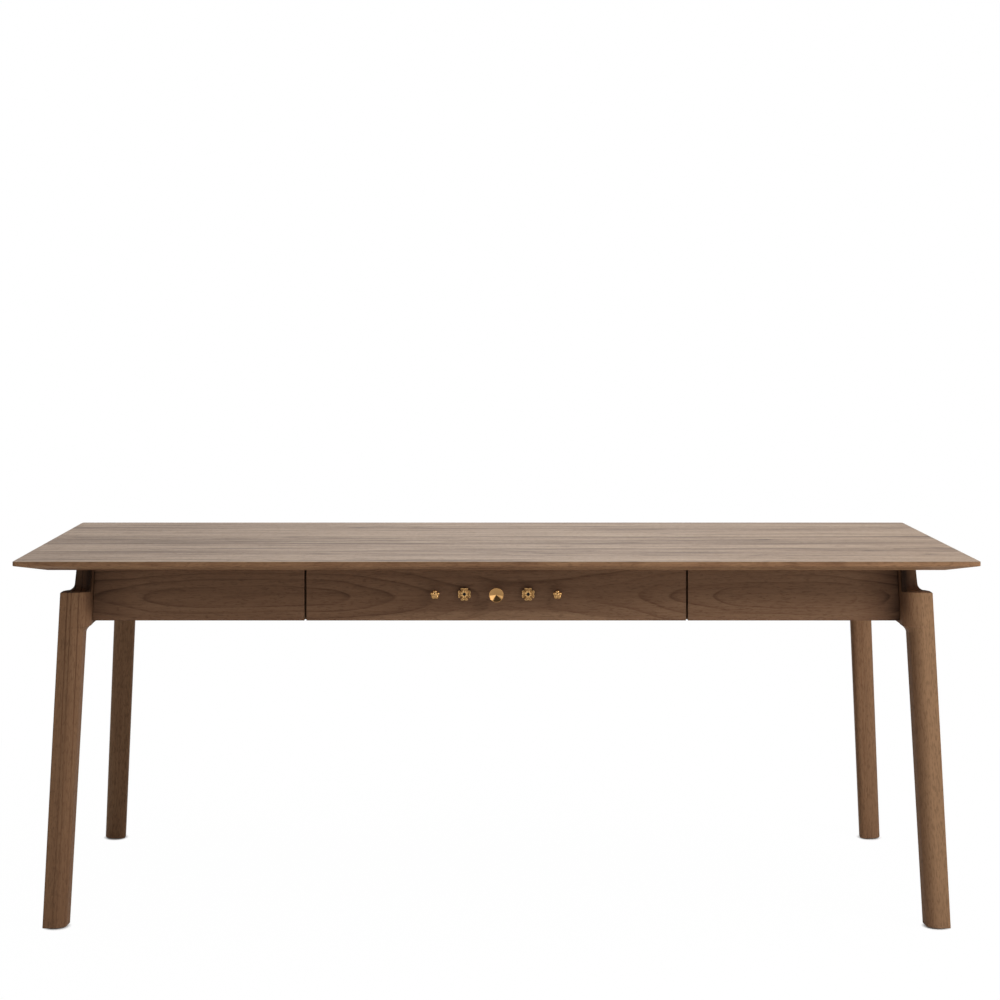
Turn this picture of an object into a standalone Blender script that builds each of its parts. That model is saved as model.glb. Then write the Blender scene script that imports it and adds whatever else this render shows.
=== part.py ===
"""Dining table: a walnut top on four splayed legs, with one drawer in the middle of the front apron.

Metres, +Z up, the front towards -Y. The origin is on the floor, under the middle of the top.
A left or front piece has side or end -1, and a right or back piece has +1.
"""

import math

import bmesh
import bpy
from mathutils import Matrix, Vector

# Fits
SEAT = 0.0003  # between pieces that rest on or butt against each other
BORE_CLEARANCE = 0.0003  # round a screw or a bolt in its hole
OVERRUN = 0.004  # how far a cutter runs past what it cuts

# Tabletop
TOP_LENGTH = 2.000
TOP_DEPTH = 0.900
TABLE_HEIGHT = 0.760
TOP_THICKNESS = 0.020
TOP_SIDE_BAND = 0.010  # the upright part of a long edge, over its bevel
TOP_END_BAND = 0.0076
TOP_SIDE_BEVEL = 0.024  # how far the bevel runs under the long sides
TOP_END_BEVEL = 0.076  # how far it runs under the ends
TOP_CORNER_RADIUS = 0.012

# Legs
LEG_SPLAY_SHARE = 0.0455  # outward lean for each metre down, to the end and to the front alike
LEG_END_INSET = 0.0957  # from the end of the top to the leg's outer face, at the top's underside
LEG_SIDE_INSET = 0.0357
LEG_FOOT_WIDTH = 0.0508
LEG_NECK_WIDTH = 0.0538
LEG_DEPTH = 0.060
LEG_SLANT = 0.005  # how much narrower the leg is along its outer and front faces
LEG_ARRIS_RADIUS = 0.0015  # the outer corner, which stays crisp
LEG_ROUND_RADIUS = 0.014  # the two corners next to it
LEG_INNER_RADIUS = 0.015
HEAD_REACH_X = 0.0624  # outer face to the face that meets the long apron
HEAD_REACH_Y = 0.0604  # front face to the face that meets the end apron
HEAD_INNER_RADIUS = 0.003
FLARE_HEIGHT = 0.030  # how far below the aprons the head starts to swell
SHOULDER_DROP = 0.048  # underside of the top to the shoulder shelf
NOTCH_DEPTH = 0.0577  # outer corner to the top of the neck's slanting face, along the diagonal
NOTCH_LEAN = 0.0028  # how much less deep the notch is at the shoulder
NOTCH_FILLET = 0.008

# Foot glides
GLIDE_RADIUS = 0.012
GLIDE_THICKNESS = 0.002
GLIDE_PIN_RADIUS = 0.0015
GLIDE_PIN_LENGTH = 0.014

# Aprons
APRON_THICKNESS = 0.020
LONG_APRON_SETBACK = 0.080  # from the edge of the top to the face of a long apron
END_APRON_SETBACK = 0.132
LONG_APRON_HEIGHT = 0.112
END_APRON_HEIGHT = 0.120
LEG_JOINT_GAP = 0.0006  # the dark line between a leg head and an apron end

# Rails under the top
RAIL_WIDTH = 0.060
RAIL_THICKNESS = 0.022

# Corner blocks and leg bolts
BLOCK_WING = 0.085
BLOCK_LAND = 0.012
BLOCK_NOSE = 0.022
BLOCK_HEIGHT = 0.090
BOLT_DROP = 0.062  # underside of the top to the bolt
BOLT_RADIUS = 0.004
BOLT_GRIP = 0.045  # length inside the leg, from the inner corner of its head
BOLT_TAIL = 0.005  # length that shows past the nut
NUT_THICKNESS = 0.0065
NUT_ACROSS_FLATS = 0.013
WASHER_RADIUS = 0.012
WASHER_THICKNESS = 0.002

# Wood screws
SCREW_RADIUS = 0.0022
SCREW_HEAD_RADIUS = 0.0050
SCREW_HEAD_HEIGHT = 0.0030
SCREW_BITE = 0.012  # length in the second piece
TOP_SCREW_END_INSET = 0.080  # from the end of a rail
TOP_SCREW_MIDDLE_OFFSET = 0.200

# Drawer opening
BAY_HALF_WIDTH = 0.390  # middle of the table to the face of a divider
DIVIDER_THICKNESS = 0.020
DRAWER_REVEAL = 0.0042  # the dark gap each side of the drawer front
DRAWER_HEADROOM = 0.002

# Drawer slides
SLIDE_SPACE = 0.0127
SLIDE_LENGTH = 0.400
SLIDE_HEIGHT = 0.035
SLIDE_SHEET = 0.0012
SLIDE_RUN_GAP = 0.0004
SLIDE_LIP = 0.0087  # depth of the fixed rail's flanges
SLIDE_FRONT_INSET = 0.002

# Drawer
BOX_LIFT = 0.008  # lower edge of the drawer front to the lower edge of the box
BOX_HEIGHT = 0.070
BOX_DEPTH = 0.420
BOX_WALL = 0.012
BOTTOM_THICKNESS = 0.006
GROOVE_RISE = 0.010
GROOVE_DEPTH = 0.006
FRONT_SCREW_END_INSET = 0.060

# Knobs
KNOB_RISE = 0.0564  # lower edge of the drawer front to the knobs
ROSETTE_OFFSET = 0.0668
BLOSSOM_OFFSET = 0.1280
KNOB_SCREW_RADIUS = 0.0020
KNOB_SCREW_HEAD_RADIUS = 0.0045
KNOB_SCREW_HEAD_HEIGHT = 0.0025
KNOB_SCREW_BITE = 0.0070
KNOB_FOOT_RADIUS = 0.0065
KNOB_FOOT_THICKNESS = 0.0015
KNOB_STEM_RADIUS = 0.0042

DISC_RADIUS = 0.01525
DISC_REACH = 0.0260
DISC_THICKNESS = 0.0055
DISC_RIM = 0.0011
DISC_DISH = 0.0026

ROSETTE_RADIUS = 0.0137
ROSETTE_REACH = 0.0100
ROSETTE_THICKNESS = 0.0030
ROSETTE_EYE_RADIUS = 0.0042
ROSETTE_EYE_DEPTH = 0.0015
ROSETTE_PETALS = 4

BLOSSOM_RADIUS = 0.0102
BLOSSOM_REACH = 0.0210
BLOSSOM_THICKNESS = 0.0070
BLOSSOM_PETALS = 5

# Shares of the knobs' shapes
ROSETTE_CLEFT_SHARE = 0.16  # depth of the cleft between two petals, of the radius
ROSETTE_LOBE_SHARE = 0.045  # depth of the dip in the middle of a petal
ROSETTE_EDGE_SHARE = 0.94  # radius of the face inside its softened edge
BLOSSOM_CLEFT_SHARE = 0.20
BLOSSOM_DOME_SHARES = ((1.00, 0.45), (0.90, 0.72), (0.66, 0.92), (0.34, 0.985))  # radius, height

# Steps of the round shapes
CORNER_STEPS = 6
FLARE_STEPS = 5
FILLET_STEPS = 8
HOLE_STEPS = 12
GLIDE_STEPS = 16
DISC_STEPS = 32
PETAL_STEPS = 40

# Heights and places that follow from the sizes
UNDERSIDE = TABLE_HEIGHT - TOP_THICKNESS
TIMBER_TOP = UNDERSIDE - SEAT
LONG_APRON_BOTTOM = UNDERSIDE - LONG_APRON_HEIGHT
END_APRON_BOTTOM = UNDERSIDE - END_APRON_HEIGHT
SHOULDER = UNDERSIDE - SHOULDER_DROP
RAIL_BOTTOM = TIMBER_TOP - RAIL_THICKNESS
APRON_FACE_Y = TOP_DEPTH / 2 - LONG_APRON_SETBACK
APRON_BACK_Y = APRON_FACE_Y - APRON_THICKNESS
APRON_FACE_X = TOP_LENGTH / 2 - END_APRON_SETBACK
APRON_BACK_X = APRON_FACE_X - APRON_THICKNESS
RAIL_HALF_LENGTH = APRON_BACK_X - SEAT - BLOCK_WING - SEAT
GAP_MIDDLE_X = BAY_HALF_WIDTH + DIVIDER_THICKNESS / 2
BOX_HALF_WIDTH = BAY_HALF_WIDTH - SLIDE_SPACE
BOX_BOTTOM = LONG_APRON_BOTTOM + BOX_LIFT
BOX_TOP = BOX_BOTTOM + BOX_HEIGHT
BOX_FACE_Y = -APRON_BACK_Y + SEAT
BOX_REAR_Y = BOX_FACE_Y + BOX_DEPTH
GROOVE_BOTTOM = BOX_BOTTOM + GROOVE_RISE
SLIDE_MIDDLE_Z = BOX_BOTTOM + BOX_HEIGHT / 2
KNOB_Z = LONG_APRON_BOTTOM + KNOB_RISE

SIDES = {"left": -1, "right": 1}
ENDS = {"front": -1, "back": 1}
UP = Vector((0, 0, 1))
FORWARD = Vector((0, -1, 0))


# Scene, materials and basic solids

def clear_scene():
    for thing in list(bpy.data.objects):
        bpy.data.objects.remove(thing, do_unlink=True)


def make_material(name, colour, roughness, metallic):
    material = bpy.data.materials.new(name)
    material.use_nodes = True
    shader = material.node_tree.nodes["Principled BSDF"]
    shader.inputs["Base Color"].default_value = (*colour, 1)
    shader.inputs["Roughness"].default_value = roughness
    shader.inputs["Metallic"].default_value = metallic
    material.diffuse_color = (*colour, 1)
    return material


def make_group(name, place):
    """An empty that a body's pieces are parented to."""
    group = bpy.data.objects.new(name, None)
    group.location = place
    bpy.context.scene.collection.objects.link(group)
    return group


def make_object(name, shape, material, group):
    """The bmesh, given in table coordinates, as an object with its origin in the middle of its box."""
    bmesh.ops.recalc_face_normals(shape, faces=shape.faces)
    lowest = Vector([min(point.co[i] for point in shape.verts) for i in range(3)])
    highest = Vector([max(point.co[i] for point in shape.verts) for i in range(3)])
    middle = (lowest + highest) / 2
    shape.transform(Matrix.Translation(-middle))
    mesh = bpy.data.meshes.new(name)
    shape.to_mesh(mesh)
    shape.free()
    mesh.shade_smooth()
    mesh.set_sharp_from_angle(angle=math.radians(30))
    mesh.materials.append(material)
    made = bpy.data.objects.new(name, mesh)
    made.parent = group
    made.location = middle - group.location
    bpy.context.scene.collection.objects.link(made)
    return made


def loft(rings):
    """A closed solid through rings of equally many points, with a flat face at each end."""
    shape = bmesh.new()
    loops = [[shape.verts.new(point) for point in ring] for ring in rings]
    for low, high in zip(loops, loops[1:]):
        for i, corner in enumerate(low):
            j = (i + 1) % len(low)
            shape.faces.new((corner, low[j], high[j], high[i]))
    shape.faces.new(loops[0])
    shape.faces.new(loops[-1])
    return shape


def prism(outline, axis, start, end):
    """The outline, given as its two coordinates off the axis in X, Y, Z order, run from start to end."""
    spot = "XYZ".index(axis)

    def ring(along):
        return [(*point[:spot], along, *point[spot:]) for point in outline]

    return loft([ring(start), ring(end)])


def slab(low, high):
    """A plain board between two opposite corners."""
    outline = [(low[0], low[1]), (high[0], low[1]), (high[0], high[1]), (low[0], high[1])]
    return prism(outline, "Z", low[2], high[2])


def turned(profile, foot, direction, steps):
    """A solid of (radius, height) rings about an axis. A radius may be a function of the angle.

    The profile starts and ends on the axis. The angle 0 is +X, and on an axis that faces the
    front the angle grows towards +Z.
    """
    shape = bmesh.new()
    turn = UP.rotation_difference(direction).to_matrix()
    foot = Vector(foot)

    def ring(radius, height):
        if radius == 0:
            return [shape.verts.new(foot + turn @ Vector((0, 0, height)))]
        points = []
        for step in range(steps):
            angle = 2 * math.pi * step / steps
            reach = radius(angle) if callable(radius) else radius
            spot = Vector((reach * math.cos(angle), reach * math.sin(angle), height))
            points.append(shape.verts.new(foot + turn @ spot))
        return points

    rings = [ring(radius, height) for radius, height in profile]
    for low, high in zip(rings, rings[1:]):
        for i in range(steps):
            j = (i + 1) % steps
            corners = [low[i % len(low)], low[j % len(low)], high[j % len(high)], high[i % len(high)]]
            shape.faces.new(list(dict.fromkeys(corners)))
    return shape


def rounded(corners, radii):
    """The outline of a convex polygon, with an arc of its own radius at each corner."""
    points = []
    for i, radius in enumerate(radii):
        corner = Vector(corners[i])
        back = (Vector(corners[i - 1]) - corner).normalized()
        ahead = (Vector(corners[(i + 1) % len(corners)]) - corner).normalized()
        half = back.angle(ahead) / 2
        centre = corner + (back + ahead).normalized() * radius / math.sin(half)
        first = corner + back * radius / math.tan(half) - centre
        sweep = math.copysign(math.pi - 2 * half, ahead.cross(back))
        for step in range(CORNER_STEPS + 1):
            points.append(centre + Matrix.Rotation(sweep * step / CORNER_STEPS, 2) @ first)
    return points


def cut(piece, shape, name):
    """Cuts a bmesh out of the piece, through a hidden cutter and a Boolean."""
    bmesh.ops.recalc_face_normals(shape, faces=shape.faces)
    mesh = bpy.data.meshes.new(name)
    shape.to_mesh(mesh)
    shape.free()
    cutter = bpy.data.objects.new(name, mesh)
    cutter.hide_render = True
    cutter.display_type = "WIRE"
    bpy.context.scene.collection.objects.link(cutter)
    boolean = piece.modifiers.new(name, "BOOLEAN")
    boolean.operation = "DIFFERENCE"
    boolean.object = cutter


def drill(piece, starts, direction, length, radius):
    """Round holes of one size and direction, from points on or before the piece's face."""
    holes = bmesh.new()
    turn = UP.rotation_difference(direction).to_matrix().to_4x4()
    for start in starts:
        middle = Vector(start) + direction * length / 2
        place = Matrix.Translation(middle) @ turn
        bmesh.ops.create_cone(
            holes,
            cap_ends=True,
            segments=HOLE_STEPS,
            radius1=radius,
            radius2=radius,
            depth=length,
            matrix=place,
        )
    cut(piece, holes, f"{piece.name}_holes_{len(piece.modifiers) + 1}")


def screw_profile(radius, length, head_radius, head_height):
    """A round-headed screw: the underside of its head at height 0, its point at the given length."""
    return [
        (0, -head_height),
        (head_radius / 2, -head_height),
        (head_radius, -head_height / 3),
        (head_radius, 0),
        (radius, 0),
        (radius, length - radius),
        (0, length),
    ]


# Top

def bevel_underneath(shape, edge, foot):
    """Cuts the plane through two points, and level across them, off the outside of the shape."""
    slope = Vector(foot) - Vector(edge)
    outward = slope.cross(slope.cross(UP))
    parts = [*shape.verts, *shape.edges, *shape.faces]
    bmesh.ops.bisect_plane(shape, geom=parts, plane_co=edge, plane_no=outward, clear_outer=True)
    rim = [line for line in shape.edges if line.is_boundary]
    bmesh.ops.holes_fill(shape, edges=rim)


def make_tabletop(material, group):
    end_x = TOP_LENGTH / 2
    side_y = TOP_DEPTH / 2
    corners = [(-end_x, -side_y), (end_x, -side_y), (end_x, side_y), (-end_x, side_y)]
    shape = prism(rounded(corners, [TOP_CORNER_RADIUS] * 4), "Z", UNDERSIDE, TABLE_HEIGHT)
    for side in SIDES.values():
        edge = (side * end_x, 0, TABLE_HEIGHT - TOP_END_BAND)
        bevel_underneath(shape, edge, (side * (end_x - TOP_END_BEVEL), 0, UNDERSIDE))
    for end in ENDS.values():
        edge = (0, end * side_y, TABLE_HEIGHT - TOP_SIDE_BAND)
        bevel_underneath(shape, edge, (0, end * (side_y - TOP_SIDE_BEVEL), UNDERSIDE))
    top = make_object("tabletop", shape, material, group)
    starts = [(x, y, UNDERSIDE - OVERRUN) for x, y in top_screw_places()]
    depth = OVERRUN + SCREW_BITE + SEAT
    drill(top, starts, UP, depth, SCREW_RADIUS + BORE_CLEARANCE)


def top_screw_places():
    """The eight screws that hold the top, along the middle of the front and the back rail."""
    outer = RAIL_HALF_LENGTH - TOP_SCREW_END_INSET
    rail_middle = APRON_BACK_Y - SEAT - RAIL_WIDTH / 2
    spots = (-outer, -TOP_SCREW_MIDDLE_OFFSET, TOP_SCREW_MIDDLE_OFFSET, outer)
    return [(x, end * rail_middle) for end in ENDS.values() for x in spots]


def make_top_screws(material, group):
    head_z = RAIL_BOTTOM - SEAT
    length = UNDERSIDE - head_z + SCREW_BITE
    profile = screw_profile(SCREW_RADIUS, length, SCREW_HEAD_RADIUS, SCREW_HEAD_HEIGHT)
    for number, (x, y) in enumerate(top_screw_places(), 1):
        shape = turned(profile, (x, y, head_z), UP, HOLE_STEPS)
        make_object(f"top_screw_{number}", shape, material, group)


# Legs

def leg_point(side, end, inward_x, inward_y, height):
    """A point of a leg, measured inwards from its outer and front faces, which lean with the splay."""
    spread = LEG_SPLAY_SHARE * (UNDERSIDE - height)
    x = TOP_LENGTH / 2 - LEG_END_INSET + spread - inward_x
    y = TOP_DEPTH / 2 - LEG_SIDE_INSET + spread - inward_y
    return Vector((side * x, end * y, height))


def leg_levels():
    """Heights of the leg's rings, each with how far the head has swelled there, from 0 to 1."""
    flare_start = END_APRON_BOTTOM - FLARE_HEIGHT
    levels = [(GLIDE_THICKNESS + SEAT, 0), (flare_start, 0)]
    for step in range(1, FLARE_STEPS + 1):
        turn = math.pi / 2 * step / FLARE_STEPS
        levels.append((flare_start + FLARE_HEIGHT * math.sin(turn), 1 - math.cos(turn)))
    levels.append((TIMBER_TOP, 1))
    return levels


def leg_ring(side, end, height, swell):
    """The leg's section: crisp at the outer corner, and a little wider towards the inner one."""
    width = LEG_FOOT_WIDTH + (LEG_NECK_WIDTH - LEG_FOOT_WIDTH) * height / UNDERSIDE
    width += swell * (HEAD_REACH_X - width)
    depth = LEG_DEPTH + swell * (HEAD_REACH_Y - LEG_DEPTH)
    slant = LEG_SLANT * (1 - swell)
    corners = [(0, 0), (width - slant, 0), (width, depth), (0, depth - slant)]
    inner_radius = LEG_INNER_RADIUS + swell * (HEAD_INNER_RADIUS - LEG_INNER_RADIUS)
    radii = (LEG_ARRIS_RADIUS, LEG_ROUND_RADIUS, inner_radius, LEG_ROUND_RADIUS)
    return [leg_point(side, end, x, y, height) for x, y in rounded(corners, radii)]


def notch_shape(side, end):
    """What is taken from the outer corner of a leg's head: above the shoulder, across the diagonal."""
    shelf_end = NOTCH_DEPTH - NOTCH_LEAN - NOTCH_FILLET
    profile = [(-HEAD_REACH_X, TIMBER_TOP + OVERRUN), (-HEAD_REACH_X, SHOULDER)]
    for step in range(FILLET_STEPS + 1):
        turn = math.pi / 2 * step / FILLET_STEPS
        inward = shelf_end + NOTCH_FILLET * math.sin(turn)
        profile.append((inward, SHOULDER + NOTCH_FILLET * (1 - math.cos(turn))))
    profile.append((NOTCH_DEPTH, TIMBER_TOP + OVERRUN))
    span = HEAD_REACH_X + HEAD_REACH_Y

    def ring(across):
        diagonal = math.sqrt(2)
        return [
            leg_point(side, end, (inward + across) / diagonal, (inward - across) / diagonal, height)
            for inward, height in profile
        ]

    return loft([ring(-span), ring(span)])


def block_corner(side, end):
    """Where the back of the long apron and the back of the end apron would meet."""
    return Vector((side * APRON_BACK_X, end * APRON_BACK_Y, UNDERSIDE - BOLT_DROP))


def make_leg(name, side, end, material, group):
    rings = [leg_ring(side, end, height, swell) for height, swell in leg_levels()]
    leg = make_object(f"leg_{name}", loft(rings), material, group)
    cut(leg, notch_shape(side, end), f"leg_{name}_notch")
    drill_bolt_hole(leg, side, end)
    foot = glide_place(side, end)
    foot.z -= OVERRUN
    depth = OVERRUN + GLIDE_THICKNESS + GLIDE_PIN_LENGTH + SEAT
    drill(leg, [foot], UP, depth, GLIDE_PIN_RADIUS + BORE_CLEARANCE)


def drill_bolt_hole(piece, side, end):
    """The leg bolt's hole, drilled from inside the corner block through the apron ends into the leg."""
    outward = Vector((side, end, 0)).normalized()
    behind = BLOCK_WING + BLOCK_LAND
    start = block_corner(side, end) - outward * behind
    length = behind + BOLT_GRIP + SEAT
    drill(piece, [start], outward, length, BOLT_RADIUS + BORE_CLEARANCE)


def glide_place(side, end):
    return leg_point(side, end, LEG_FOOT_WIDTH / 2, LEG_DEPTH / 2, 0)


def make_glide(name, side, end, material, group):
    chamfer = GLIDE_THICKNESS / 4
    pin_top = GLIDE_THICKNESS + GLIDE_PIN_LENGTH
    profile = [
        (0, 0),
        (GLIDE_RADIUS - chamfer, 0),
        (GLIDE_RADIUS, chamfer),
        (GLIDE_RADIUS, GLIDE_THICKNESS),
        (GLIDE_PIN_RADIUS, GLIDE_THICKNESS),
        (GLIDE_PIN_RADIUS, pin_top - GLIDE_PIN_RADIUS),
        (0, pin_top),
    ]
    shape = turned(profile, glide_place(side, end), UP, GLIDE_STEPS)
    make_object(f"foot_glide_{name}", shape, material, group)


def make_corner_block(name, side, end, material, group):
    low = TIMBER_TOP - BLOCK_HEIGHT
    outline = [
        (BLOCK_NOSE, 0),
        (BLOCK_WING, 0),
        (BLOCK_WING, BLOCK_LAND),
        (BLOCK_LAND, BLOCK_WING),
        (0, BLOCK_WING),
        (0, BLOCK_NOSE),
    ]
    placed = [
        (side * (APRON_BACK_X - SEAT - x), end * (APRON_BACK_Y - SEAT - y))
        for x, y in outline
    ]
    block = make_object(f"corner_block_{name}", prism(placed, "Z", low, TIMBER_TOP), material, group)
    drill_bolt_hole(block, side, end)


def make_leg_bolt(name, side, end, material, group):
    """A hanger bolt from the leg through the corner block, with its washer and nut."""
    face = (BLOCK_WING + BLOCK_LAND) / math.sqrt(2) + SEAT * math.sqrt(2) + SEAT
    washer_end = face + WASHER_THICKNESS
    nut_end = washer_end + NUT_THICKNESS
    tail_end = nut_end + BOLT_TAIL

    def hexagon(angle):
        sixth = math.pi / 3
        return NUT_ACROSS_FLATS / 2 / math.cos(angle % sixth - sixth / 2)

    profile = [
        (0, -BOLT_GRIP),
        (BOLT_RADIUS, BOLT_RADIUS - BOLT_GRIP),
        (BOLT_RADIUS, face),
        (WASHER_RADIUS, face),
        (WASHER_RADIUS, washer_end),
        (hexagon, washer_end),
        (hexagon, nut_end),
        (BOLT_RADIUS, nut_end),
        (BOLT_RADIUS, tail_end),
        (0, tail_end),
    ]
    inward = Vector((-side, -end, 0)).normalized()
    shape = turned(profile, block_corner(side, end), inward, HOLE_STEPS)
    make_object(f"leg_bolt_{name}", shape, material, group)


# Aprons, rails and dividers

def head_face_x(height):
    """Distance from the middle of the table to the leg face that a long apron butts against."""
    return leg_point(1, 1, HEAD_REACH_X, 0, height).x - LEG_JOINT_GAP


def head_face_y(height):
    return leg_point(1, 1, 0, HEAD_REACH_Y, height).y - LEG_JOINT_GAP


def make_front_panel(name, side, material, group):
    inner = GAP_MIDDLE_X + DRAWER_REVEAL / 2
    outline = [
        (side * inner, LONG_APRON_BOTTOM),
        (side * head_face_x(LONG_APRON_BOTTOM), LONG_APRON_BOTTOM),
        (side * head_face_x(TIMBER_TOP), TIMBER_TOP),
        (side * inner, TIMBER_TOP),
    ]
    shape = prism(outline, "Y", -APRON_FACE_Y, -APRON_BACK_Y)
    panel = make_object(f"front_panel_{name}", shape, material, group)
    drill_bolt_hole(panel, side, ENDS["front"])


def make_back_apron(material, group):
    outline = [
        (-head_face_x(LONG_APRON_BOTTOM), LONG_APRON_BOTTOM),
        (head_face_x(LONG_APRON_BOTTOM), LONG_APRON_BOTTOM),
        (head_face_x(TIMBER_TOP), TIMBER_TOP),
        (-head_face_x(TIMBER_TOP), TIMBER_TOP),
    ]
    apron = make_object("back_apron", prism(outline, "Y", APRON_BACK_Y, APRON_FACE_Y), material, group)
    for side in SIDES.values():
        drill_bolt_hole(apron, side, ENDS["back"])


def make_end_apron(name, side, material, group):
    outline = [
        (-head_face_y(END_APRON_BOTTOM), END_APRON_BOTTOM),
        (head_face_y(END_APRON_BOTTOM), END_APRON_BOTTOM),
        (head_face_y(TIMBER_TOP), TIMBER_TOP),
        (-head_face_y(TIMBER_TOP), TIMBER_TOP),
    ]
    shape = prism(outline, "X", side * APRON_BACK_X, side * APRON_FACE_X)
    apron = make_object(f"end_apron_{name}", shape, material, group)
    for end in ENDS.values():
        drill_bolt_hole(apron, side, end)


def make_rail(name, end, material, group):
    """A flat rail under the top, against the back of a long apron and between two corner blocks."""
    near = end * (APRON_BACK_Y - SEAT)
    far = near - end * RAIL_WIDTH
    shape = slab((-RAIL_HALF_LENGTH, near, RAIL_BOTTOM), (RAIL_HALF_LENGTH, far, TIMBER_TOP))
    rail = make_object(f"{name}_rail", shape, material, group)
    starts = [
        (x, y, RAIL_BOTTOM - OVERRUN) for x, y in top_screw_places() if y * end > 0
    ]
    drill(rail, starts, UP, RAIL_THICKNESS + 2 * OVERRUN, SCREW_RADIUS + BORE_CLEARANCE)


def make_divider(name, side, material, group):
    """A cross board from the front panel to the back apron, notched under both rails."""
    reach = APRON_BACK_Y - SEAT
    notch = reach - RAIL_WIDTH - SEAT
    notch_top = RAIL_BOTTOM - SEAT
    outline = [
        (-reach, LONG_APRON_BOTTOM),
        (reach, LONG_APRON_BOTTOM),
        (reach, notch_top),
        (notch, notch_top),
        (notch, TIMBER_TOP),
        (-notch, TIMBER_TOP),
        (-notch, notch_top),
        (-reach, notch_top),
    ]
    inner = side * BAY_HALF_WIDTH
    shape = prism(outline, "X", inner, inner + side * DIVIDER_THICKNESS)
    make_object(f"divider_{name}", shape, material, group)


# Drawer slides

def channel(side, plate, lip, outside):
    """Cross-section of a steel channel: the web at `plate` and both flanges out to `lip`.

    Both are measured from the divider's face towards the drawer, and outside is the half height.
    """
    web_inner = plate + math.copysign(SLIDE_SHEET, lip - plate)
    inside = outside - SLIDE_SHEET
    outline = [
        (plate, -outside),
        (lip, -outside),
        (lip, -inside),
        (web_inner, -inside),
        (web_inner, inside),
        (lip, inside),
        (lip, outside),
        (plate, outside),
    ]
    return [(side * (BAY_HALF_WIDTH - x), SLIDE_MIDDLE_Z + z) for x, z in outline]


def make_slide(name, side, material, groups):
    """The fixed, middle and moving members of one telescopic drawer slide, nested in each other."""
    front = BOX_FACE_Y + SLIDE_FRONT_INSET
    step = SLIDE_SHEET + SLIDE_RUN_GAP
    fixed = channel(side, SEAT, SEAT + SLIDE_LIP, SLIDE_HEIGHT / 2)
    middle = channel(side, SEAT + step, SEAT + SLIDE_LIP, SLIDE_HEIGHT / 2 - step)
    moving = channel(side, SLIDE_SPACE - SEAT, SEAT + 2 * step, SLIDE_HEIGHT / 2 - 2 * step)
    members = {"fixed": (fixed, "frame"), "middle": (middle, "middles"), "moving": (moving, "drawer")}
    for member, (outline, group) in members.items():
        shape = prism(outline, "Y", front, front + SLIDE_LENGTH)
        make_object(f"slide_{member}_{name}", shape, material, groups[group])


# Drawer

def front_screw_places():
    spot = BOX_HALF_WIDTH - FRONT_SCREW_END_INSET
    return [(-spot, SLIDE_MIDDLE_Z), (spot, SLIDE_MIDDLE_Z)]


def knob_places():
    return [(x, KNOB_Z) for x in (-BLOSSOM_OFFSET, -ROSETTE_OFFSET, 0, ROSETTE_OFFSET, BLOSSOM_OFFSET)]


def make_drawer_front(material, group):
    half = GAP_MIDDLE_X - DRAWER_REVEAL / 2
    low = (-half, -APRON_FACE_Y, LONG_APRON_BOTTOM)
    high = (half, -APRON_BACK_Y, UNDERSIDE - DRAWER_HEADROOM)
    front = make_object("drawer_front", slab(low, high), material, group)
    starts = [(x, -APRON_FACE_Y - OVERRUN, z) for x, z in knob_places()]
    drill(front, starts, -FORWARD, APRON_THICKNESS + 2 * OVERRUN, KNOB_SCREW_RADIUS + BORE_CLEARANCE)
    blind = [(x, -APRON_BACK_Y + OVERRUN, z) for x, z in front_screw_places()]
    depth = OVERRUN + SCREW_BITE + SEAT
    drill(front, blind, FORWARD, depth, SCREW_RADIUS + BORE_CLEARANCE)


def grooved_board(inner, outer):
    """Cross-section of a drawer wall with the groove for the bottom in its inner face."""
    groove = inner + math.copysign(GROOVE_DEPTH, outer - inner)
    groove_top = GROOVE_BOTTOM + BOTTOM_THICKNESS + 2 * SEAT
    return [
        (inner, BOX_BOTTOM),
        (outer, BOX_BOTTOM),
        (outer, BOX_TOP),
        (inner, BOX_TOP),
        (inner, groove_top),
        (groove, groove_top),
        (groove, GROOVE_BOTTOM),
        (inner, GROOVE_BOTTOM),
    ]


def make_drawer_walls(material, group):
    for name, side in SIDES.items():
        outer = side * BOX_HALF_WIDTH
        section = grooved_board(outer - side * BOX_WALL, outer)
        make_object(f"drawer_side_{name}", prism(section, "Y", BOX_FACE_Y, BOX_REAR_Y), material, group)
    half = BOX_HALF_WIDTH - BOX_WALL - SEAT
    section = grooved_board(BOX_FACE_Y + BOX_WALL, BOX_FACE_Y)
    inner_front = make_object("drawer_inner_front", prism(section, "X", -half, half), material, group)
    knob_starts = [(x, BOX_FACE_Y - OVERRUN, z) for x, z in knob_places()]
    length = BOX_WALL + 2 * OVERRUN
    drill(inner_front, knob_starts, -FORWARD, length, KNOB_SCREW_RADIUS + BORE_CLEARANCE)
    screw_starts = [(x, BOX_FACE_Y - OVERRUN, z) for x, z in front_screw_places()]
    drill(inner_front, screw_starts, -FORWARD, length, SCREW_RADIUS + BORE_CLEARANCE)
    section = grooved_board(BOX_REAR_Y - BOX_WALL, BOX_REAR_Y)
    make_object("drawer_back", prism(section, "X", -half, half), material, group)


def make_drawer_bottom(material, group):
    tongue = BOX_WALL - GROOVE_DEPTH + SEAT
    half = BOX_HALF_WIDTH - tongue
    low = (-half, BOX_FACE_Y + tongue, GROOVE_BOTTOM + SEAT)
    high = (half, BOX_REAR_Y - tongue, GROOVE_BOTTOM + SEAT + BOTTOM_THICKNESS)
    make_object("drawer_bottom", slab(low, high), material, group)


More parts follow.
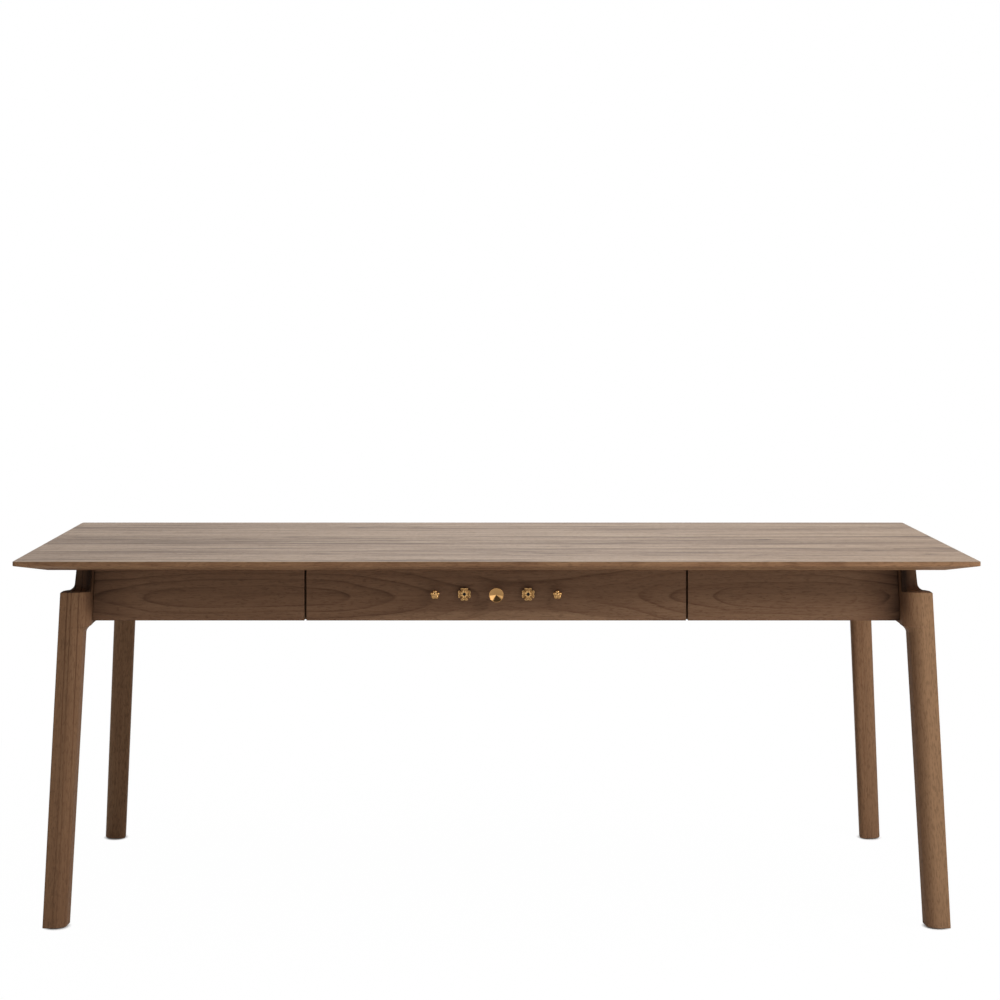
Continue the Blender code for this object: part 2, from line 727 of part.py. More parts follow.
def make_drawer_screws(material, group):
    """Screws from inside the drawer: two into its front, and one through it into each knob."""
    head_y = BOX_FACE_Y + BOX_WALL + SEAT
    length = head_y + APRON_BACK_Y + SCREW_BITE
    profile = screw_profile(SCREW_RADIUS, length, SCREW_HEAD_RADIUS, SCREW_HEAD_HEIGHT)
    for name, (x, z) in zip(SIDES, front_screw_places()):
        shape = turned(profile, (x, head_y, z), FORWARD, HOLE_STEPS)
        make_object(f"front_screw_{name}", shape, material, group)
    length = head_y + APRON_FACE_Y + SEAT + KNOB_SCREW_BITE
    profile = screw_profile(KNOB_SCREW_RADIUS, length, KNOB_SCREW_HEAD_RADIUS, KNOB_SCREW_HEAD_HEIGHT)
    for number, (x, z) in enumerate(knob_places(), 1):
        shape = turned(profile, (x, head_y, z), FORWARD, HOLE_STEPS)
        make_object(f"knob_screw_{number}", shape, material, group)


# Knobs

def knob_foot():
    """Profile of a knob's screw hole and foot, from the end of the hole to the start of the stem."""
    hole = KNOB_SCREW_RADIUS + BORE_CLEARANCE
    depth = KNOB_SCREW_BITE + SEAT
    return [
        (0, depth),
        (hole, depth),
        (hole, 0),
        (KNOB_FOOT_RADIUS, 0),
        (KNOB_FOOT_RADIUS, KNOB_FOOT_THICKNESS),
        (KNOB_STEM_RADIUS, KNOB_FOOT_THICKNESS),
    ]


def disc_profile():
    """The middle knob: a dished disc on a stem."""
    back = DISC_REACH - DISC_THICKNESS
    rim_low = DISC_REACH - DISC_THICKNESS / 2
    return knob_foot() + [
        (KNOB_STEM_RADIUS, back),
        (DISC_RADIUS - 2 * DISC_RIM, rim_low),
        (DISC_RADIUS, rim_low + DISC_RIM),
        (DISC_RADIUS, DISC_REACH - DISC_RIM / 2),
        (DISC_RADIUS - DISC_RIM / 2, DISC_REACH),
        (DISC_RADIUS - DISC_RIM, DISC_REACH - DISC_RIM / 2),
        (0, DISC_REACH - DISC_DISH),
    ]


def rosette_profile():
    """The inner pair: a flat flower of four double-lobed petals with a diamond-shaped eye."""

    def petals(size):
        def radius(angle):
            cleft = (1 - math.cos(ROSETTE_PETALS * angle)) / 2
            lobe = (1 + math.cos(2 * ROSETTE_PETALS * angle)) / 2
            dip = ROSETTE_CLEFT_SHARE * cleft**4 + ROSETTE_LOBE_SHARE * lobe * (1 - cleft)
            return size * (1 - dip)

        return radius

    def eye(size):
        def radius(angle):
            quarter = math.pi / 2
            off_point = abs((angle + quarter / 2) % quarter - quarter / 2) / quarter
            return size * (1 - off_point)

        return radius

    back = ROSETTE_REACH - ROSETTE_THICKNESS
    middle = ROSETTE_REACH - ROSETTE_THICKNESS / 2
    return knob_foot() + [
        (KNOB_STEM_RADIUS, back),
        (petals(ROSETTE_RADIUS), back),
        (petals(ROSETTE_RADIUS), middle),
        (petals(ROSETTE_RADIUS * ROSETTE_EDGE_SHARE), ROSETTE_REACH),
        (eye(ROSETTE_EYE_RADIUS), ROSETTE_REACH),
        (eye(ROSETTE_EYE_RADIUS), ROSETTE_REACH - ROSETTE_EYE_DEPTH),
        (0, ROSETTE_REACH - ROSETTE_EYE_DEPTH),
    ]


def blossom_profile():
    """The outer pair: a domed flower of five petals, one of them upwards."""

    def petals(size):
        def radius(angle):
            cleft = (1 - math.cos(BLOSSOM_PETALS * (angle - math.pi / 2))) / 2
            return size * (1 - BLOSSOM_CLEFT_SHARE * cleft**2)

        return radius

    back = BLOSSOM_REACH - BLOSSOM_THICKNESS
    profile = knob_foot() + [
        (KNOB_STEM_RADIUS, back),
        (petals(BLOSSOM_RADIUS), back + BLOSSOM_THICKNESS / 4),
    ]
    for radius_share, height_share in BLOSSOM_DOME_SHARES:
        profile.append((petals(BLOSSOM_RADIUS * radius_share), back + BLOSSOM_THICKNESS * height_share))
    profile.append((0, BLOSSOM_REACH))
    return profile


def make_knobs(material, group):
    left_blossom, left_rosette, middle, right_rosette, right_blossom = knob_places()
    knobs = {
        "knob_blossom_left": (left_blossom, blossom_profile(), PETAL_STEPS),
        "knob_rosette_left": (left_rosette, rosette_profile(), PETAL_STEPS),
        "knob_disc": (middle, disc_profile(), DISC_STEPS),
        "knob_rosette_right": (right_rosette, rosette_profile(), PETAL_STEPS),
        "knob_blossom_right": (right_blossom, blossom_profile(), PETAL_STEPS),
    }
    for name, ((x, z), profile, steps) in knobs.items():
        foot = (x, -APRON_FACE_Y - SEAT, z)
        make_object(name, turned(profile, foot, FORWARD, steps), material, group)


def main():
    clear_scene()
    walnut = make_material("walnut", (0.165, 0.090, 0.050), 0.45, 0)
    box_wood = make_material("drawer_box_wood", (0.55, 0.42, 0.28), 0.50, 0)
    brass = make_material("brass", (0.78, 0.54, 0.26), 0.28, 1)
    steel = make_material("steel", (0.56, 0.57, 0.58), 0.35, 1)
    glide_plastic = make_material("glide_plastic", (0.05, 0.045, 0.04), 0.60, 0)
    groups = {
        "frame": make_group("frame", Vector((0, 0, 0))),
        "middles": make_group("slide_middles", Vector((0, BOX_FACE_Y, SLIDE_MIDDLE_Z))),
        "drawer": make_group("drawer", Vector((0, -APRON_FACE_Y, SLIDE_MIDDLE_Z))),
    }
    frame = groups["frame"]
    drawer = groups["drawer"]

    make_tabletop(walnut, frame)
    make_top_screws(steel, frame)
    for end_name, end in ENDS.items():
        make_rail(end_name, end, walnut, frame)
        for side_name, side in SIDES.items():
            name = f"{end_name}_{side_name}"
            make_leg(name, side, end, walnut, frame)
            make_glide(name, side, end, glide_plastic, frame)
            make_corner_block(name, side, end, walnut, frame)
            make_leg_bolt(name, side, end, steel, frame)
    make_back_apron(walnut, frame)
    for name, side in SIDES.items():
        make_front_panel(name, side, walnut, frame)
        make_end_apron(name, side, walnut, frame)
        make_divider(name, side, walnut, frame)
        make_slide(name, side, steel, groups)
    make_drawer_front(walnut, drawer)
    make_drawer_walls(box_wood, drawer)
    make_drawer_bottom(box_wood, drawer)
    make_drawer_screws(steel, drawer)
    make_knobs(brass, drawer)


main()
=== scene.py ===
"""Dining table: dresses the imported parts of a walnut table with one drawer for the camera.

Laid out as an add-on and run as a script. Metres, +Z up, the front towards -Y, as in the frame.
A left or front piece has side or end -1, and a right or back piece has +1.
"""

import math

import bmesh
import bpy
from bpy.props import FloatProperty, FloatVectorProperty, PointerProperty
from mathutils import Matrix, Vector


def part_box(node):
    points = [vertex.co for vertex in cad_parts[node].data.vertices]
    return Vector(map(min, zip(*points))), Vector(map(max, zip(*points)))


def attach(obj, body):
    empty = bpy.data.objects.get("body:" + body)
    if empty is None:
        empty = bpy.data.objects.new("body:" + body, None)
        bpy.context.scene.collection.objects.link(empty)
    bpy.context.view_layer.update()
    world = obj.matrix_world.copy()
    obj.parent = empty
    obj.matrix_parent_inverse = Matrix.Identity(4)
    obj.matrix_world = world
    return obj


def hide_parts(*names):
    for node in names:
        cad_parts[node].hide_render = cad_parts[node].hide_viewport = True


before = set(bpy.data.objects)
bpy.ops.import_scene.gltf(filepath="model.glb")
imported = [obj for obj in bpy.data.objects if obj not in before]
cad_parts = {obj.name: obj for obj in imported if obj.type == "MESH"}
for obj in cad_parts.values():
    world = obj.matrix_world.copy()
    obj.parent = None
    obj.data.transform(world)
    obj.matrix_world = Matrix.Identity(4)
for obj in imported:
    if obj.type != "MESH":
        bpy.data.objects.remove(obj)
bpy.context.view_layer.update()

bl_info = {
    "name": "Walnut dining table",
    "version": (1, 0, 0),
    "blender": (4, 5, 0),
    "location": "3D View > Sidebar > Table",
    "description": "Builds the visible pieces of a dining table over its packed frame",
    "category": "Object",
}

SIDES = {"left": -1, "right": 1}
ENDS = {"front": -1, "back": 1}

# Places that follow from the frame
TOP_LOW, TOP_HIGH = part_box("tabletop")
LEG_LOW, LEG_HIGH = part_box("leg_front_left")
FRONT_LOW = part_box("drawer_front")[0]
APRON_FACE_Y = FRONT_LOW.y
END_APRON_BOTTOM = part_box("end_apron_left")[0].z
FRONT_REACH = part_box("front_panel_right")[1].x
END_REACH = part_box("end_apron_right")[1].y

SMALL = 1e-5  # two points this near are the same point


# Sizes and colours that a user would change

def size_property(name, words, default):
    return FloatProperty(name=name, description=words, default=default, min=0, unit="LENGTH", precision=4)


def share_property(name, words, default):
    return FloatProperty(name=name, description=words, default=default, min=0, max=1)


def power_property(name, words, default):
    return FloatProperty(name=name, description=words, default=default, min=0, unit="POWER")


def colour_property(name, words, default):
    return FloatVectorProperty(
        name=name, description=words, default=default, size=3, min=0, max=1, subtype="COLOR"
    )


class TabletopSizes(bpy.types.PropertyGroup):
    corner_radius: size_property("Corner radius", "Rounding of the top's corners in plan", 0.007)
    band: size_property("Edge band", "Upright part of the edge", 0.0097)
    side_bevel: size_property("Side bevel", "How far the bevel runs under a long side", 0.024)
    end_bevel: size_property("End bevel", "How far the bevel runs under an end", 0.066)
    arris_radius: size_property("Arris radius", "Rounding of the edge band's arrises", 0.0013)


class LegSizes(bpy.types.PropertyGroup):
    splay_share: share_property("Splay", "Outward lean for each metre down", 0.0455)
    foot_width: size_property("Foot width", "Width of the leg at the floor", 0.0508)
    neck_width: size_property("Neck width", "Width of the leg at the top", 0.0538)
    depth: size_property("Depth", "Depth of the leg", 0.060)
    slant: size_property("Slant", "How much narrower the outer faces are", 0.005)
    round_radius: size_property("Side radius", "Rounding of the corners next to the outer one", 0.022)
    inner_radius: size_property("Inner radius", "Rounding of the inner corner", 0.015)
    head_reach_x: size_property("Head width", "Outer face to the long apron", 0.0624)
    head_reach_y: size_property("Head depth", "Front face to the end apron", 0.0604)
    head_inner_radius: size_property("Head inner radius", "Rounding of the head's inner corner", 0.003)
    head_side_radius: size_property("Head side radius", "Rounding of the head towards the aprons", 0.032)
    flare_height: size_property("Flare", "How far below the aprons the head starts to swell", 0.015)
    shoulder_drop: size_property("Shoulder", "Underside of the top to the shoulder", 0.048)
    notch_depth: size_property("Notch", "Depth of the notch at the top, on the diagonal", 0.0577)
    notch_lean: size_property("Notch lean", "How much less deep the notch is at the shoulder", 0.0032)
    notch_fillet: size_property("Notch fillet", "Radius between shoulder and neck", 0.012)
    arris_radius: size_property("Arris radius", "Rounding of the crisp edges", 0.0014)


class ApronSizes(bpy.types.PropertyGroup):
    arris_radius: size_property("Arris radius", "Rounding of the boards' edges", 0.0008)
    hidden_arris: size_property("Inside arris", "Rounding of the edges inside the table", 0.0006)


class KnobSizes(bpy.types.PropertyGroup):
    disc_radius: size_property("Disc radius", "Middle knob, middle to rim", 0.01525)
    disc_reach: size_property("Disc reach", "Drawer front to the middle knob's rim", 0.0260)
    disc_dish: size_property("Disc dish", "Depth of the middle knob's hollow", 0.0044)
    rosette_radius: size_property("Rosette radius", "Inner pair, middle to petal tip", 0.0130)
    rosette_reach: size_property("Rosette reach", "Drawer front to the inner pair's face", 0.0100)
    rosette_depth: size_property("Rosette depth", "Thickness of the inner pair's flower", 0.0030)
    petal_width: size_property("Petal width", "Inner pair, width of one double petal", 0.0167)
    eye_width: size_property("Eye width", "Side of the inner pair's square eye", 0.0064)
    blossom_radius: size_property("Blossom radius", "Outer pair, middle to petal tip", 0.0102)
    blossom_reach: size_property("Blossom reach", "Drawer front to the middle of the petals", 0.0172)
    foot_radius: size_property("Foot radius", "Foot of a knob against the drawer front", 0.0065)
    stem_radius: size_property("Stem radius", "Stem of a knob", 0.0042)


class WalnutColours(bpy.types.PropertyGroup):
    dark: colour_property("Dark streaks", "Late wood and streaks", (0.062, 0.031, 0.018))
    body: colour_property("Body", "Most of the wood", (0.165, 0.088, 0.050))
    light: colour_property("Light bands", "Pale bands between streaks", (0.255, 0.150, 0.088))
    roughness: share_property("Roughness", "Oiled surface of the top", 0.42)
    side_roughness: share_property("Side roughness", "Duller surface of legs and aprons", 0.55)
    flecks: share_property("Flecks", "How dark the short flecks are", 0.34)


class FittingColours(bpy.types.PropertyGroup):
    box_wood: colour_property("Drawer box wood", "Pale wood of the drawer box", (0.55, 0.42, 0.28))
    box_wood_dark: colour_property("Drawer box grain", "Darker lines in it", (0.42, 0.29, 0.17))
    brass: colour_property("Brass", "Knobs where they are rubbed bright", (0.68, 0.385, 0.15))
    brass_bright: colour_property("Bright brass", "High spots of the casting", (0.95, 0.59, 0.24))
    brass_dark: colour_property("Aged brass", "Knobs where they have darkened", (0.17, 0.075, 0.025))
    steel: colour_property("Steel", "Slides, screws and bolts", (0.56, 0.57, 0.58))
    eye: colour_property("Eye", "Blackened hollow in the inner pair of knobs", (0.008, 0.010, 0.014))
    plastic: colour_property("Glide plastic", "Glides under the feet", (0.05, 0.045, 0.04))


class StudioSettings(bpy.types.PropertyGroup):
    key_power: power_property("Key light", "Soft light, high on the right", 92)
    front_power: power_property("Front light", "Weak light beside the camera, which shows in the brass", 14)
    top_power: power_property("Top light", "Soft light overhead", 84)
    back_power: power_property("Back light", "Soft light behind", 30)
    fill_low: share_property("Low fill", "Even light from the horizon", 0.0)
    fill_high: share_property("High fill", "Even light from straight above", 0.55)
    floor: colour_property("Floor", "Plain pale floor", (0.86, 0.86, 0.85))


# Editing by hand, in code

def activate(piece):
    bpy.ops.object.select_all(action="DESELECT")
    piece.select_set(True)
    bpy.context.view_layer.objects.active = piece


def edit(piece, kind="EDGE"):
    """Opens a piece for editing with nothing selected."""
    activate(piece)
    bpy.ops.object.mode_set(mode="EDIT")
    bpy.ops.mesh.select_mode(type=kind)
    bpy.ops.mesh.select_all(action="DESELECT")


def leave_edit():
    bpy.ops.object.mode_set(mode="OBJECT")


def pick(kind, test):
    """Selects the verts, edges or faces of the piece being edited that pass the test."""
    bpy.ops.mesh.select_all(action="DESELECT")
    bpy.ops.mesh.select_mode(type={"verts": "VERT", "edges": "EDGE", "faces": "FACE"}[kind])
    mesh = bpy.context.edit_object.data
    shape = bmesh.from_edit_mesh(mesh)
    for part in getattr(shape, kind):
        if test(part):
            part.select_set(True)
    shape.select_flush_mode()
    bmesh.update_edit_mesh(mesh)


def pick_points(points):
    pick("verts", lambda vert: any((vert.co - point).length < SMALL for point in points))


def crease(edge):
    """The angle between the two faces of an edge."""
    return edge.calc_face_angle(0)


def runs_along(edge, axis):
    """Whether the two ends of an edge lie apart along an axis."""
    return abs(edge.verts[0].co[axis] - edge.verts[1].co[axis]) > SMALL


def bevel(width, segments):
    bpy.ops.mesh.bevel(
        offset=width, offset_type="OFFSET", segments=segments, affect="EDGES", clamp_overlap=False
    )


def extrude(step):
    bpy.ops.mesh.extrude_region_move(TRANSFORM_OT_translate={"value": step})


def apply_place(piece):
    activate(piece)
    bpy.ops.object.transform_apply(location=True, rotation=True, scale=True)


def smooth(piece, degrees=32):
    """Smooth shading that keeps sharp edges sharp and flat faces flat."""
    activate(piece)
    bpy.ops.object.shade_smooth_by_angle(angle=math.radians(degrees))
    step = piece.modifiers.new("flat_faces", "WEIGHTED_NORMAL")
    step.keep_sharp = True
    bpy.ops.object.modifier_apply(modifier=step.name)


def add_box(name, low, high):
    """A cube at its size and place, which is where shaping starts."""
    low = Vector(low)
    high = Vector(high)
    bpy.ops.object.select_all(action="DESELECT")
    bpy.ops.mesh.primitive_cube_add(size=1, location=(low + high) / 2)
    box = bpy.context.object
    box.name = name
    box.scale = high - low
    apply_place(box)
    return box


def soften(piece, width, segments=3, least=40):
    """Rounds every edge of a piece that is sharper than the least angle."""
    edit(piece)
    limit = math.radians(least)
    pick("edges", lambda edge: crease(edge) > limit)
    bevel(width, segments)
    leave_edit()
    smooth(piece)


def turn_faces_out(piece):
    edit(piece, "FACE")
    bpy.ops.mesh.select_all(action="SELECT")
    bpy.ops.mesh.normals_make_consistent(inside=False)
    leave_edit()


def mirrored(piece, name, flips):
    """A copy with its own mesh, mirrored where flips holds -1."""
    activate(piece)
    bpy.ops.object.duplicate(linked=False)
    copy = bpy.context.object
    copy.name = name
    copy.scale = flips
    apply_place(copy)
    turn_faces_out(copy)
    return copy


def add_ball(name, centre, radius, half_depth):
    """A ball flattened from front to back, at its size and place."""
    bpy.ops.object.select_all(action="DESELECT")
    bpy.ops.mesh.primitive_uv_sphere_add(
        segments=32, ring_count=16, radius=1, location=centre, rotation=(math.pi / 2, 0, 0)
    )
    ball = bpy.context.object
    ball.name = name
    ball.scale = (radius, radius, half_depth)
    apply_place(ball)
    return ball


def combine(piece, other, operation):
    """Adds another shape to a piece or cuts it out, and removes the other."""
    activate(piece)
    step = piece.modifiers.new("combine", "BOOLEAN")
    step.operation = operation
    step.solver = "EXACT"
    step.use_self = True
    step.object = other
    bpy.ops.object.modifier_apply(modifier=step.name)
    bpy.data.objects.remove(other)


def turned_copy(piece, angle):
    """A copy turned about the line from front to back through the origin."""
    activate(piece)
    bpy.ops.object.duplicate(linked=False)
    copy = bpy.context.object
    copy.rotation_euler.y = angle
    apply_place(copy)
    return copy


def copy_of_node(node):
    """A merged copy of a CAD node's mesh, without the triangles' inner lines."""
    piece = bpy.data.objects.new(f"{node}_piece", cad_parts[node].data.copy())
    bpy.context.scene.collection.objects.link(piece)
    piece.data.materials.clear()
    edit(piece, "VERT")
    bpy.ops.mesh.select_all(action="SELECT")
    bpy.ops.mesh.remove_doubles(threshold=SMALL)
    bpy.ops.mesh.dissolve_limited(angle_limit=math.radians(1))
    leave_edit()
    return piece


def finish_piece(piece, name, body, nodes, material):
    """Names a piece, gives it its finish and lets it ride on its body in place of its nodes."""
    piece.name = name
    piece.data.name = name
    piece.data.materials.clear()
    piece.data.materials.append(material)
    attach(piece, body)
    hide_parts(*nodes)


# Materials

class Nodes:
    """Shader nodes, added to a tree one at a time."""

    def __init__(self, tree):
        self.tree = tree

    def wire(self, socket, value):
        if isinstance(value, bpy.types.NodeSocket):
            self.tree.links.new(value, socket)
        else:
            socket.default_value = value

    def add(self, kind, **values):
        """Adds a node and fills its sockets by their names."""
        node = self.tree.nodes.new(kind)
        for name, value in values.items():
            self.wire(node.inputs[name], value)
        return node

    def sum(self, operation, *values):
        node = self.add("ShaderNodeMath")
        node.operation = operation
        for socket, value in zip(node.inputs, values):
            self.wire(socket, value)
        return node.outputs["Value"]

    def scaled(self, value, size, shift=0.0):
        return self.sum("MULTIPLY_ADD", value, size, shift)

    def product(self, first, *others):
        for value in others:
            first = self.sum("MULTIPLY", first, value)
        return first

    def past(self, value, start, reach):
        """How far a value is past its start, as a share of a reach."""
        return self.scaled(value, 1 / reach, -start / reach)

    def plus(self, tone, value, share=1.0):
        """A tone with a share of a value added to it."""
        return self.sum("MULTIPLY_ADD", value, share, tone)

    def span(self, value, low, high, at_low=0.0, at_high=1.0):
        """A number that goes from at_low to at_high while the value goes from low to high."""
        names = ("Value", "From Min", "From Max", "To Min", "To Max")
        values = (value, low, high, at_low, at_high)
        return self.add("ShaderNodeMapRange", **dict(zip(names, values))).outputs["Result"]

    def length(self, vector):
        node = self.add("ShaderNodeVectorMath")
        node.operation = "LENGTH"
        self.wire(node.inputs[0], vector)
        return node.outputs["Value"]

    def split(self, vector):
        return self.add("ShaderNodeSeparateXYZ", Vector=vector).outputs

    def joined(self, x, y, z):
        return self.add("ShaderNodeCombineXYZ", X=x, Y=y, Z=z).outputs["Vector"]

    def seen_share(self, from_camera, in_gloss):
        """How much plain white the rays see that show the background.

        These are the rays from the camera, off gloss and through glass.
        """
        path = self.add("ShaderNodeLightPath").outputs
        camera = self.product(path["Is Camera Ray"], from_camera)
        gloss = self.product(path["Is Glossy Ray"], in_gloss)
        through = self.product(path["Is Transmission Ray"], from_camera)
        return self.sum("MAXIMUM", camera, self.sum("MAXIMUM", gloss, through))


class Recipe(Nodes):
    """A material, built up node by node."""

    def __init__(self, name):
        self.material = bpy.data.materials.new(name)
        self.material.use_nodes = True
        super().__init__(self.material.node_tree)
        self.shader = self.tree.nodes["Principled BSDF"]
        self.place = self.add("ShaderNodeTexCoord").outputs["Object"]

    def mapped(self, vector, place=(0, 0, 0), turn=(0, 0, 0), size=(1, 1, 1)):
        node = self.add("ShaderNodeMapping", Vector=vector, Location=place, Rotation=turn, Scale=size)
        return node.outputs["Vector"]

    def noise(self, vector, scale=1.0, detail=2.0, roughness=0.5):
        node = self.add(
            "ShaderNodeTexNoise", Vector=vector, Scale=scale, Detail=detail, Roughness=roughness
        )
        return node.outputs[0]

    def clouds(self, vector, size, detail=2, roughness=0.5):
        """Noise that repeats so often a metre along each axis."""
        return self.noise(self.mapped(vector, size=size), 1, detail, roughness)

    def ramp(self, value, stops, steps="LINEAR"):
        """Greys or colours at places from 0 to 1, with what lies between them blended."""
        node = self.add("ShaderNodeValToRGB", Fac=value)
        node.color_ramp.interpolation = steps
        points = node.color_ramp.elements
        while len(points) < len(stops):
            points.new(1)
        for point, (spot, tone) in zip(points, stops):
            point.position = spot
            point.color = (*tone, 1) if hasattr(tone, "__len__") else (tone, tone, tone, 1)
        return node.outputs["Color"]

    def rise(self, value, low=0.0, high=1.0, steps="LINEAR"):
        """From 0 where the value is low to 1 where it is high."""
        return self.ramp(value, [(low, 0.0), (high, 1.0)], steps)

    def fall(self, value, low=0.0, high=1.0, steps="LINEAR"):
        """From 1 where the value is low to 0 where it is high."""
        return self.ramp(value, [(low, 1.0), (high, 0.0)], steps)

    def curve(self, value, points):
        """A smooth line through points whose places and heights run from 0 to 1."""
        node = self.add("ShaderNodeFloatCurve", Value=value)
        line = node.mapping.curves[0]
        line.points[0].location = points[0]
        line.points[1].location = points[-1]
        for point in points[1:-1]:
            line.points.new(*point)
        node.mapping.update()
        return node.outputs["Value"]

    def blend(self, share, first, second, way="MIX"):
        node = self.add("ShaderNodeMix")
        node.data_type = "RGBA"
        node.blend_type = way
        sockets = (node.inputs[0], node.inputs[6], node.inputs[7])  # share and the two colours
        for socket, value in zip(sockets, (share, first, second)):
            if not isinstance(value, bpy.types.NodeSocket) and hasattr(value, "__len__"):
                value = (*value[:3], 1)
            self.wire(socket, value)
        return node.outputs[2]

    def mixed(self, share, first, second):
        """A share of the second of two shaders over the first."""
        node = self.add("ShaderNodeMixShader", Fac=share)
        self.wire(node.inputs[1], first)
        self.wire(node.inputs[2], second)
        return node.outputs["Shader"]

    def bump(self, height, strength, distance):
        node = self.add("ShaderNodeBump", Height=height, Strength=strength, Distance=distance)
        self.wire(self.shader.inputs["Normal"], node.outputs["Normal"])

    def finish(self, colour, roughness, gloss=0.5, metallic=0.0):
        self.wire(self.shader.inputs["Base Color"], colour)
        self.wire(self.shader.inputs["Roughness"], roughness)
        self.shader.inputs["Specular IOR Level"].default_value = gloss
        self.shader.inputs["Metallic"].default_value = metallic
        return self.material


def stretched(axis, along, across):
    """Repeats a metre along the grain's axis, and across it both ways."""
    return tuple(along if letter == axis else across for letter in "XYZ")


def swayed(recipe, place, axis, sway):
    """Lets the grain drift to and fro across its length."""
    drift = recipe.scaled(recipe.clouds(place, stretched(axis, 1.7, 4)), sway, -sway / 2)
    parts = [
        part if letter == axis else recipe.plus(part, drift)
        for letter, part in zip("XYZ", recipe.split(place))
    ]
    return recipe.joined(*parts)


def wood_layers(recipe, place, axis, bands, streaks):
    """The bands, streaks, fibres and pores that every piece of walnut has, each from 0 to 1."""
    layers = {
        "bands": (*bands, 2, 0.5),
        "streaks": (*streaks, 3, 0.6),
        "fibre": (9, 430, 2, 0.6),
        "flecks": (85, 360, 1, 0.5),
        "pores": (48, 1000, 1, 0.5),
    }  # repeats a metre along the grain and across it, detail, roughness
    return {
        name: recipe.clouds(place, stretched(axis, along, across), detail, roughness)
        for name, (along, across, detail, roughness) in layers.items()
    }


# Tones of walnut run from 0, nearly black, to 1, its palest bands
DARK_TONE = 0.12
BODY_TONE = 0.50
LIGHT_TONE = 0.88
BLACKEST_SHARE = 0.35  # of the dark colour, at tone 0
PORE_NOISE = (0.58, 0.68)  # from where a pore starts to show to where it shows fully
PORE_SHARE = 0.45  # how dark the pores are
FLECK_SOFTNESS = 0.13
POLISHED_GLOSS = 0.1  # a piece with more gloss than this has the roughness of the top
SHEEN_TONES = [(0.20, 0.16), (0.50, 0.05), (0.85, 0.0)]  # tone, what it adds to the roughness
FIBRE_ROUGHNESS = 0.14
MARK_ROUGHNESS = 0.30
MEAN_ROUGHNESS = 0.12  # what sheen, fibres and marks add on the whole
UNPOLISHED_ROUGHNESS = 0.1
UNPOLISHED_TINT = (1.0, 0.80, 0.70)
MARK_DEPTH = -0.9  # pores and flecks, against the fibres
GRAIN_STRENGTH = 0.30
GRAIN_RELIEF = 0.0003


def walnut(
    name, axis, shift, figure=None, place=None, shares=(0.30, 0.50, 0.30), lift=0.0, bands=(0.7, 11),
    streaks=(1.6, 62), sway=0.012, gloss=0.06, tint=(1, 1, 1), flecked=0.57, raised=None, dull_below=0,
):
    """Oiled walnut with its grain along one axis.

    The figure is a tone that is added to the streaks, around 0; on the legs and front boards it also
    paints light and shade. The shares say how strong the bands, streaks and fibres are, and the lift
    makes a whole piece lighter. Bands and streaks hold how often each repeats a metre along the grain and
    across it. Raised is a tone by height that paints light on the top's edge and shade on the legs' heads,
    and below dull_below the surface has the duller finish of the sides.
    """
    wood = bpy.context.scene.walnut_colours
    recipe = Recipe(name)
    spot = place(recipe) if place else recipe.place
    grain_place = swayed(recipe, recipe.mapped(spot, place=shift), axis, sway)
    layers = wood_layers(recipe, grain_place, axis, bands, streaks)
    fibre = layers["fibre"]
    tone = lift + BODY_TONE - sum(shares) / 2
    for layer, share in zip(("bands", "streaks", "fibre"), shares):
        tone = recipe.plus(tone, layers[layer], share)
    # the figure holds grain, and on the legs and front boards painted light and shade too
    if figure:
        tone = recipe.plus(tone, figure(recipe, spot))
    # painted light on the top's edge and painted shade on the legs' heads
    if raised:
        tone = recipe.plus(tone, raised(recipe))
    shades = [
        (0.0, wood.dark * BLACKEST_SHARE), (DARK_TONE, wood.dark), (BODY_TONE, wood.body),
        (LIGHT_TONE, wood.light),
    ]
    stops = [(at, tuple(part * share for part, share in zip(shade, tint))) for at, shade in shades]
    pores = recipe.rise(layers["pores"], *PORE_NOISE)
    flecks = recipe.rise(layers["flecks"], flecked, flecked + FLECK_SOFTNESS)
    pores = recipe.scaled(pores, PORE_SHARE)
    marks = recipe.sum("MAXIMUM", pores, recipe.scaled(flecks, wood.flecks))
    colour = recipe.blend(marks, recipe.ramp(tone, stops), stops[1][1])
    plain = wood.roughness if gloss > POLISHED_GLOSS else wood.side_roughness
    roughness = recipe.plus(plain - MEAN_ROUGHNESS, recipe.ramp(tone, SHEEN_TONES))
    roughness = recipe.plus(roughness, fibre, FIBRE_ROUGHNESS)
    roughness = recipe.plus(roughness, marks, MARK_ROUGHNESS)
    if dull_below:
        dull = recipe.sum("LESS_THAN", recipe.split(recipe.place)["Z"], dull_below)
        duller = wood.side_roughness - wood.roughness + UNPOLISHED_ROUGHNESS
        roughness = recipe.plus(roughness, dull, duller)
        colour = recipe.blend(dull, colour, UNPOLISHED_TINT, "MULTIPLY")
    recipe.bump(recipe.plus(fibre, marks, MARK_DEPTH), GRAIN_STRENGTH, GRAIN_RELIEF)
    return recipe.finish(colour, roughness, gloss)


# The tree's own pattern on the top, and painted light on its edge and underside

PLANK_SHARES = [
    (0.00, 0.56), (0.17, 0.44), (0.305, 0.60), (0.395, 0.44), (0.615, 0.64), (0.755, 0.50), (0.89, 0.60),
]  # place across the top from the front, tone
PLANK_SHIFT = 37.0  # metres along the tree for a whole tone
PLANK_CONTRAST = 0.9
PLANK_LIFT = -0.445
DARK_STREAK = -0.16
PALE_STREAK = 0.18
PLANK_RING_TONE = -0.15
KNOT_TONE = -0.42
PLANK_RINGS = 17.0
PLANK_RING_TONES = [(0.0, 0.0), (0.45, 0.10), (0.88, 1.0), (1.0, 0.0)]
KNOT_PLACES = [
    (-0.841, 0.177), (0.158, -0.126), (0.397, 0.162), (0.923, -0.297), (-0.32, 0.31), (0.61, 0.02),
]
KNOT_LENGTH = 0.034
KNOT_WIDTH = 0.013
RIGHT_PAINTED_LIGHT = 0.06  # painted light: tone that the edge and underside gain for each metre to the right
POLISHED_DEPTH = 0.0012  # how far the polish of the upper face runs down its eased arris
